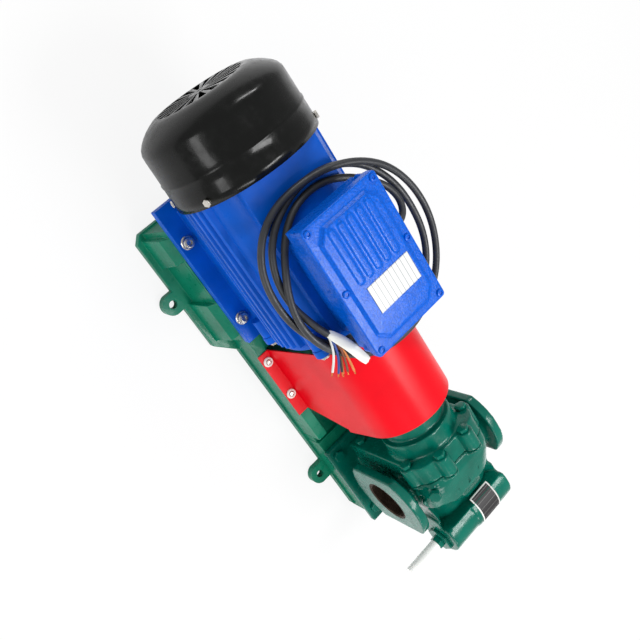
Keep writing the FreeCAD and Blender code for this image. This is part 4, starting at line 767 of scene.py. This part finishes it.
def press_body(at):
    """Press the skin of the pump body into the smooth casting behind its front bosses."""
    x, y, z = at / MM
    if x < CASE_FRONT or x > COVER_REAR or z < 205 or abs(y) > 84:
        return
    if math.hypot(x - PORT[0], z - PORT[1]) < NECK_REACH:
        return
    blend = min(1, max(0, (x - 436) / 37))
    corner = CORNER + 18 * blend
    top = case_top(x, y)
    z = min(z, top)
    side = abs(y)
    flat = CASE_HALF - corner
    if z > top - corner:
        reach, rise = max(0, side - flat), z - (top - corner)
        far = math.hypot(reach, rise)
        if far > corner and side > flat:
            side = flat + reach * corner / far
            z = top - corner + rise * corner / far
    side = min(side, CASE_HALF)
    at[:] = mm(x, math.copysign(side, y), z)


def pump_body():
    """Gear case and rear cover as one casting with the swelling barrel of the relief valve."""
    bm = merged_copy("gear_case")
    block = bmesh.new()
    outline = [block.verts.new(mm(CASE_REAR - 6, y, 159 + z))
               for y, z in rounded_corners(CASE_HALF, 97, CORNER)]
    grown = bmesh.ops.extrude_face_region(block, geom=[block.faces.new(outline)])
    far_side = [item for item in grown["geom"] if isinstance(item, bmesh.types.BMVert)]
    bmesh.ops.translate(block, verts=far_side, vec=mm(COVER_REAR - CASE_REAR + 6, 0, 0))
    bmesh.ops.scale(block, verts=far_side, vec=(1, 0.9, 0.94),
                    space=Matrix.Translation(mm(0, 0, -150)))
    bmesh.ops.recalc_face_normals(block, faces=block.faces)
    fold_in(bm, block)
    lie_down = Matrix.Rotation(math.pi / 2, 4, "X")
    for low, high, radius in ((-70, BARREL_STEP, BARREL_NEAR),
                              (BARREL_STEP - 4, 70, BARREL_FAR)):
        barrel = bmesh.new()
        place = Matrix.Translation(mm(BARREL[0], (low + high) / 2, BARREL[1])) @ lie_down
        bmesh.ops.create_cone(barrel, cap_ends=True, segments=96, radius1=radius * MM,
                              radius2=radius * MM, depth=(high - low) * MM, matrix=place)
        fold_in(bm, barrel)
    mesh = one_skin(bm, "pump_body_casting", 2.1, 3, press_body)
    return add_piece("pump_body_casting", mesh, "green_enamel",
                     ["gear_case", "case_gaskets", "pump_rear_cover", "dowel_pins"])


def front_cover_bolts():
    """The bolt heads that stand on the front cover; the rear ones are under the smooth body."""
    bm = merged_copy("cover_bolts")
    behind = [vertex for vertex in bm.verts if vertex.co.x > PORT[0] * MM]
    bmesh.ops.delete(bm, geom=behind, context="VERTS")
    bmesh.ops.bisect_plane(bm, geom=bm.verts[:] + bm.edges[:] + bm.faces[:],
                           plane_co=mm(CASE_FRONT - 10, 0, 0), plane_no=(1, 0, 0),
                           clear_outer=True)
    rims = [edge for edge in bm.edges if edge.is_boundary]
    bmesh.ops.holes_fill(bm, edges=rims)
    ease_edges(bm, 0.9)
    return add_piece("front_cover_bolts", mesh_from(bm, "front_cover_bolts", 40),
                     slot_of["cover_bolts"], ["cover_bolts"])


def fan_cover():
    """Pressed fan cover: one spun sheet with its grille of radial slots."""
    steps, slots = 160, 20
    profile = [(-249, 0.5), (-249, 10), (-249, 16), (-249, 28), (-249, 40), (-249, 52),
               (-249, 63.5), (-248.8, 68), (-247.6, 74), (-245, 80), (-241.5, 87), (-237, 94),
               (-232, 100), (-227, 104.5), (-221, 107.4), (-212, 107.9), (-195, 108.3),
               (-178, 108.6), (-176.5, 109.8), (-173.5, 109.8), (-172, 109), (-160, 109.4),
               (-148, 109.9), (-137, 110.2)]
    bm = turned_piece(profile, mm(0, 0, SHAFT_Z), "x", steps)
    open_faces = []
    for face in bm.faces:
        middle = face.calc_center_median() / MM
        radius = math.hypot(middle.y, middle.z - SHAFT_Z)
        turn = math.atan2(middle.z - SHAFT_Z, middle.y) / math.tau % 1
        if middle.x < -248.5 and 16 < radius < 63.5 and turn * slots % 1 < 0.62:
            open_faces.append(face)
    bmesh.ops.delete(bm, geom=open_faces, context="FACES")
    bmesh.ops.recalc_face_normals(bm, faces=bm.faces)
    mesh = mesh_from(bm, "fan_cover_sheet", 50)
    cover = add_piece("fan_cover_sheet", mesh, slot_of["fan_cover"], ["fan_cover"])
    wall = cover.modifiers.new("wall", "SOLIDIFY")
    wall.thickness = 0.0022
    wall.offset = -1
    return cover


pump_body()
cast_skin("front_cover_casting", "pump_front_cover", 1.6, 4)
front_cover_bolts()
fan_cover()
EASED = (
    ("base_frame", 1.2, 6), ("motor_frame", 0.9, 0), ("motor_front_shield", 1.2, 0),
    ("motor_rear_shield", 0.8, 0), ("terminal_box", 1.4, 0), ("coupling_guard", 0.5, 0),
    ("coupling_motor_half", 0.8, 0), ("coupling_pump_half", 0.8, 0), ("coupling_spider", 0.6, 0),
    ("cooling_fan", 0.4, 0), ("gland_follower", 1.0, 0), ("relief_bonnet", 0.8, 0),
    ("case_plug", 0.8, 0), ("adjusting_lock_nut", 0.6, 0), ("thread_sleeve", 0.8, 0),
    ("cable_gland", 0.6, 0), ("pump_foot_bolts", 0.8, 0), ("shield_bolts", 0.6, 0),
    ("fan_cover_screws", 0.5, 0), ("gland_studs", 0.4, 0), ("rotor_shaft", 0.5, 0),
    ("drive_shaft", 0.5, 0),
)
for eased_node, eased_width, shortest_edge in EASED:
    eased(eased_node, eased_width, shortest_edge)
hidden_names = {name for obj in bpy.data.objects for name in obj.get("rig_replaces", [])}
for node_name, node_object in frame["nodes"].items():
    if node_name not in hidden_names:
        coat(node_object, slot_of[node_name])


# Studio
floor_bm = bmesh.new()
bmesh.ops.create_grid(floor_bm, x_segments=1, y_segments=1, size=6)
floor = bpy.data.objects.new("studio_floor", bpy.data.meshes.new("studio_floor"))
bmesh.ops.translate(floor_bm, verts=floor_bm.verts, vec=mm(0, 0, -0.5))
floor_bm.to_mesh(floor.data)
floor_bm.free()
bpy.context.scene.collection.objects.link(floor)
paper = Finish("studio_paper", 0.9)
paper.colour(paper.ramp(paper.cloud(3, 2), (0.3, shade(236, 236, 236)),
                        (0.7, shade(240, 240, 240))))
glow = paper.nodes.new("ShaderNodeEmission")
glow.inputs["Color"].default_value = (1, 1, 1, 1)
glow.inputs["Strength"].default_value = 0.985
seen = paper.nodes.new("ShaderNodeLightPath")
share = paper.nodes.new("ShaderNodeMath")
share.operation = "MULTIPLY"
share.inputs[1].default_value = 0.86
blend = paper.nodes.new("ShaderNodeMixShader")
out = paper.nodes["Material Output"]
paper.links.new(seen.outputs["Is Camera Ray"], share.inputs[0])
paper.links.new(share.outputs["Value"], blend.inputs[0])
paper.links.new(paper.surface.outputs[0], blend.inputs[1])
paper.links.new(glow.outputs[0], blend.inputs[2])
paper.links.new(blend.outputs[0], out.inputs["Surface"])
floor.data.materials.append(paper.material)

world = bpy.data.worlds.new("studio")
bpy.context.scene.world = world
world.use_nodes = True
sky = world.node_tree.nodes["Background"]
sky.inputs["Color"].default_value = (1, 1, 1, 1)
path = world.node_tree.nodes.new("ShaderNodeLightPath")
strength = world.node_tree.nodes.new("ShaderNodeMapRange")
strength.inputs["To Min"].default_value = 0.5
strength.inputs["To Max"].default_value = 1.0
world.node_tree.links.new(path.outputs["Is Camera Ray"], strength.inputs["Value"])
world.node_tree.links.new(strength.outputs["Result"], sky.inputs["Strength"])


def soft_lamp(name, at, target, size, power):
    lamp = bpy.data.lights.new(name, "AREA")
    lamp.shape = "RECTANGLE"
    lamp.size, lamp.size_y = size
    lamp.energy = power
    obj = bpy.data.objects.new(name, lamp)
    obj.location = at
    obj.rotation_mode = "QUATERNION"
    obj.rotation_quaternion = (Vector(target) - Vector(at)).to_track_quat("-Z", "Y")
    bpy.context.scene.collection.objects.link(obj)


soft_lamp("key_lamp", (0.9, 0.3, 2.0), (0.15, 0, 0.15), (1.0, 0.5), 28)
soft_lamp("rear_lamp", (-1.5, 0.9, 1.2), (0.0, 0, 0.15), (0.9, 0.25), 14)
soft_lamp("left_lamp", (-0.2, -1.9, 1.1), (0.2, 0, 0.15), (1.4, 0.5), 13)
soft_lamp("front_lamp", (1.9, -0.7, 1.0), (0.4, 0, 0.1), (0.9, 0.5), 12)

scene = bpy.context.scene
scene.view_settings.view_transform = "Standard"
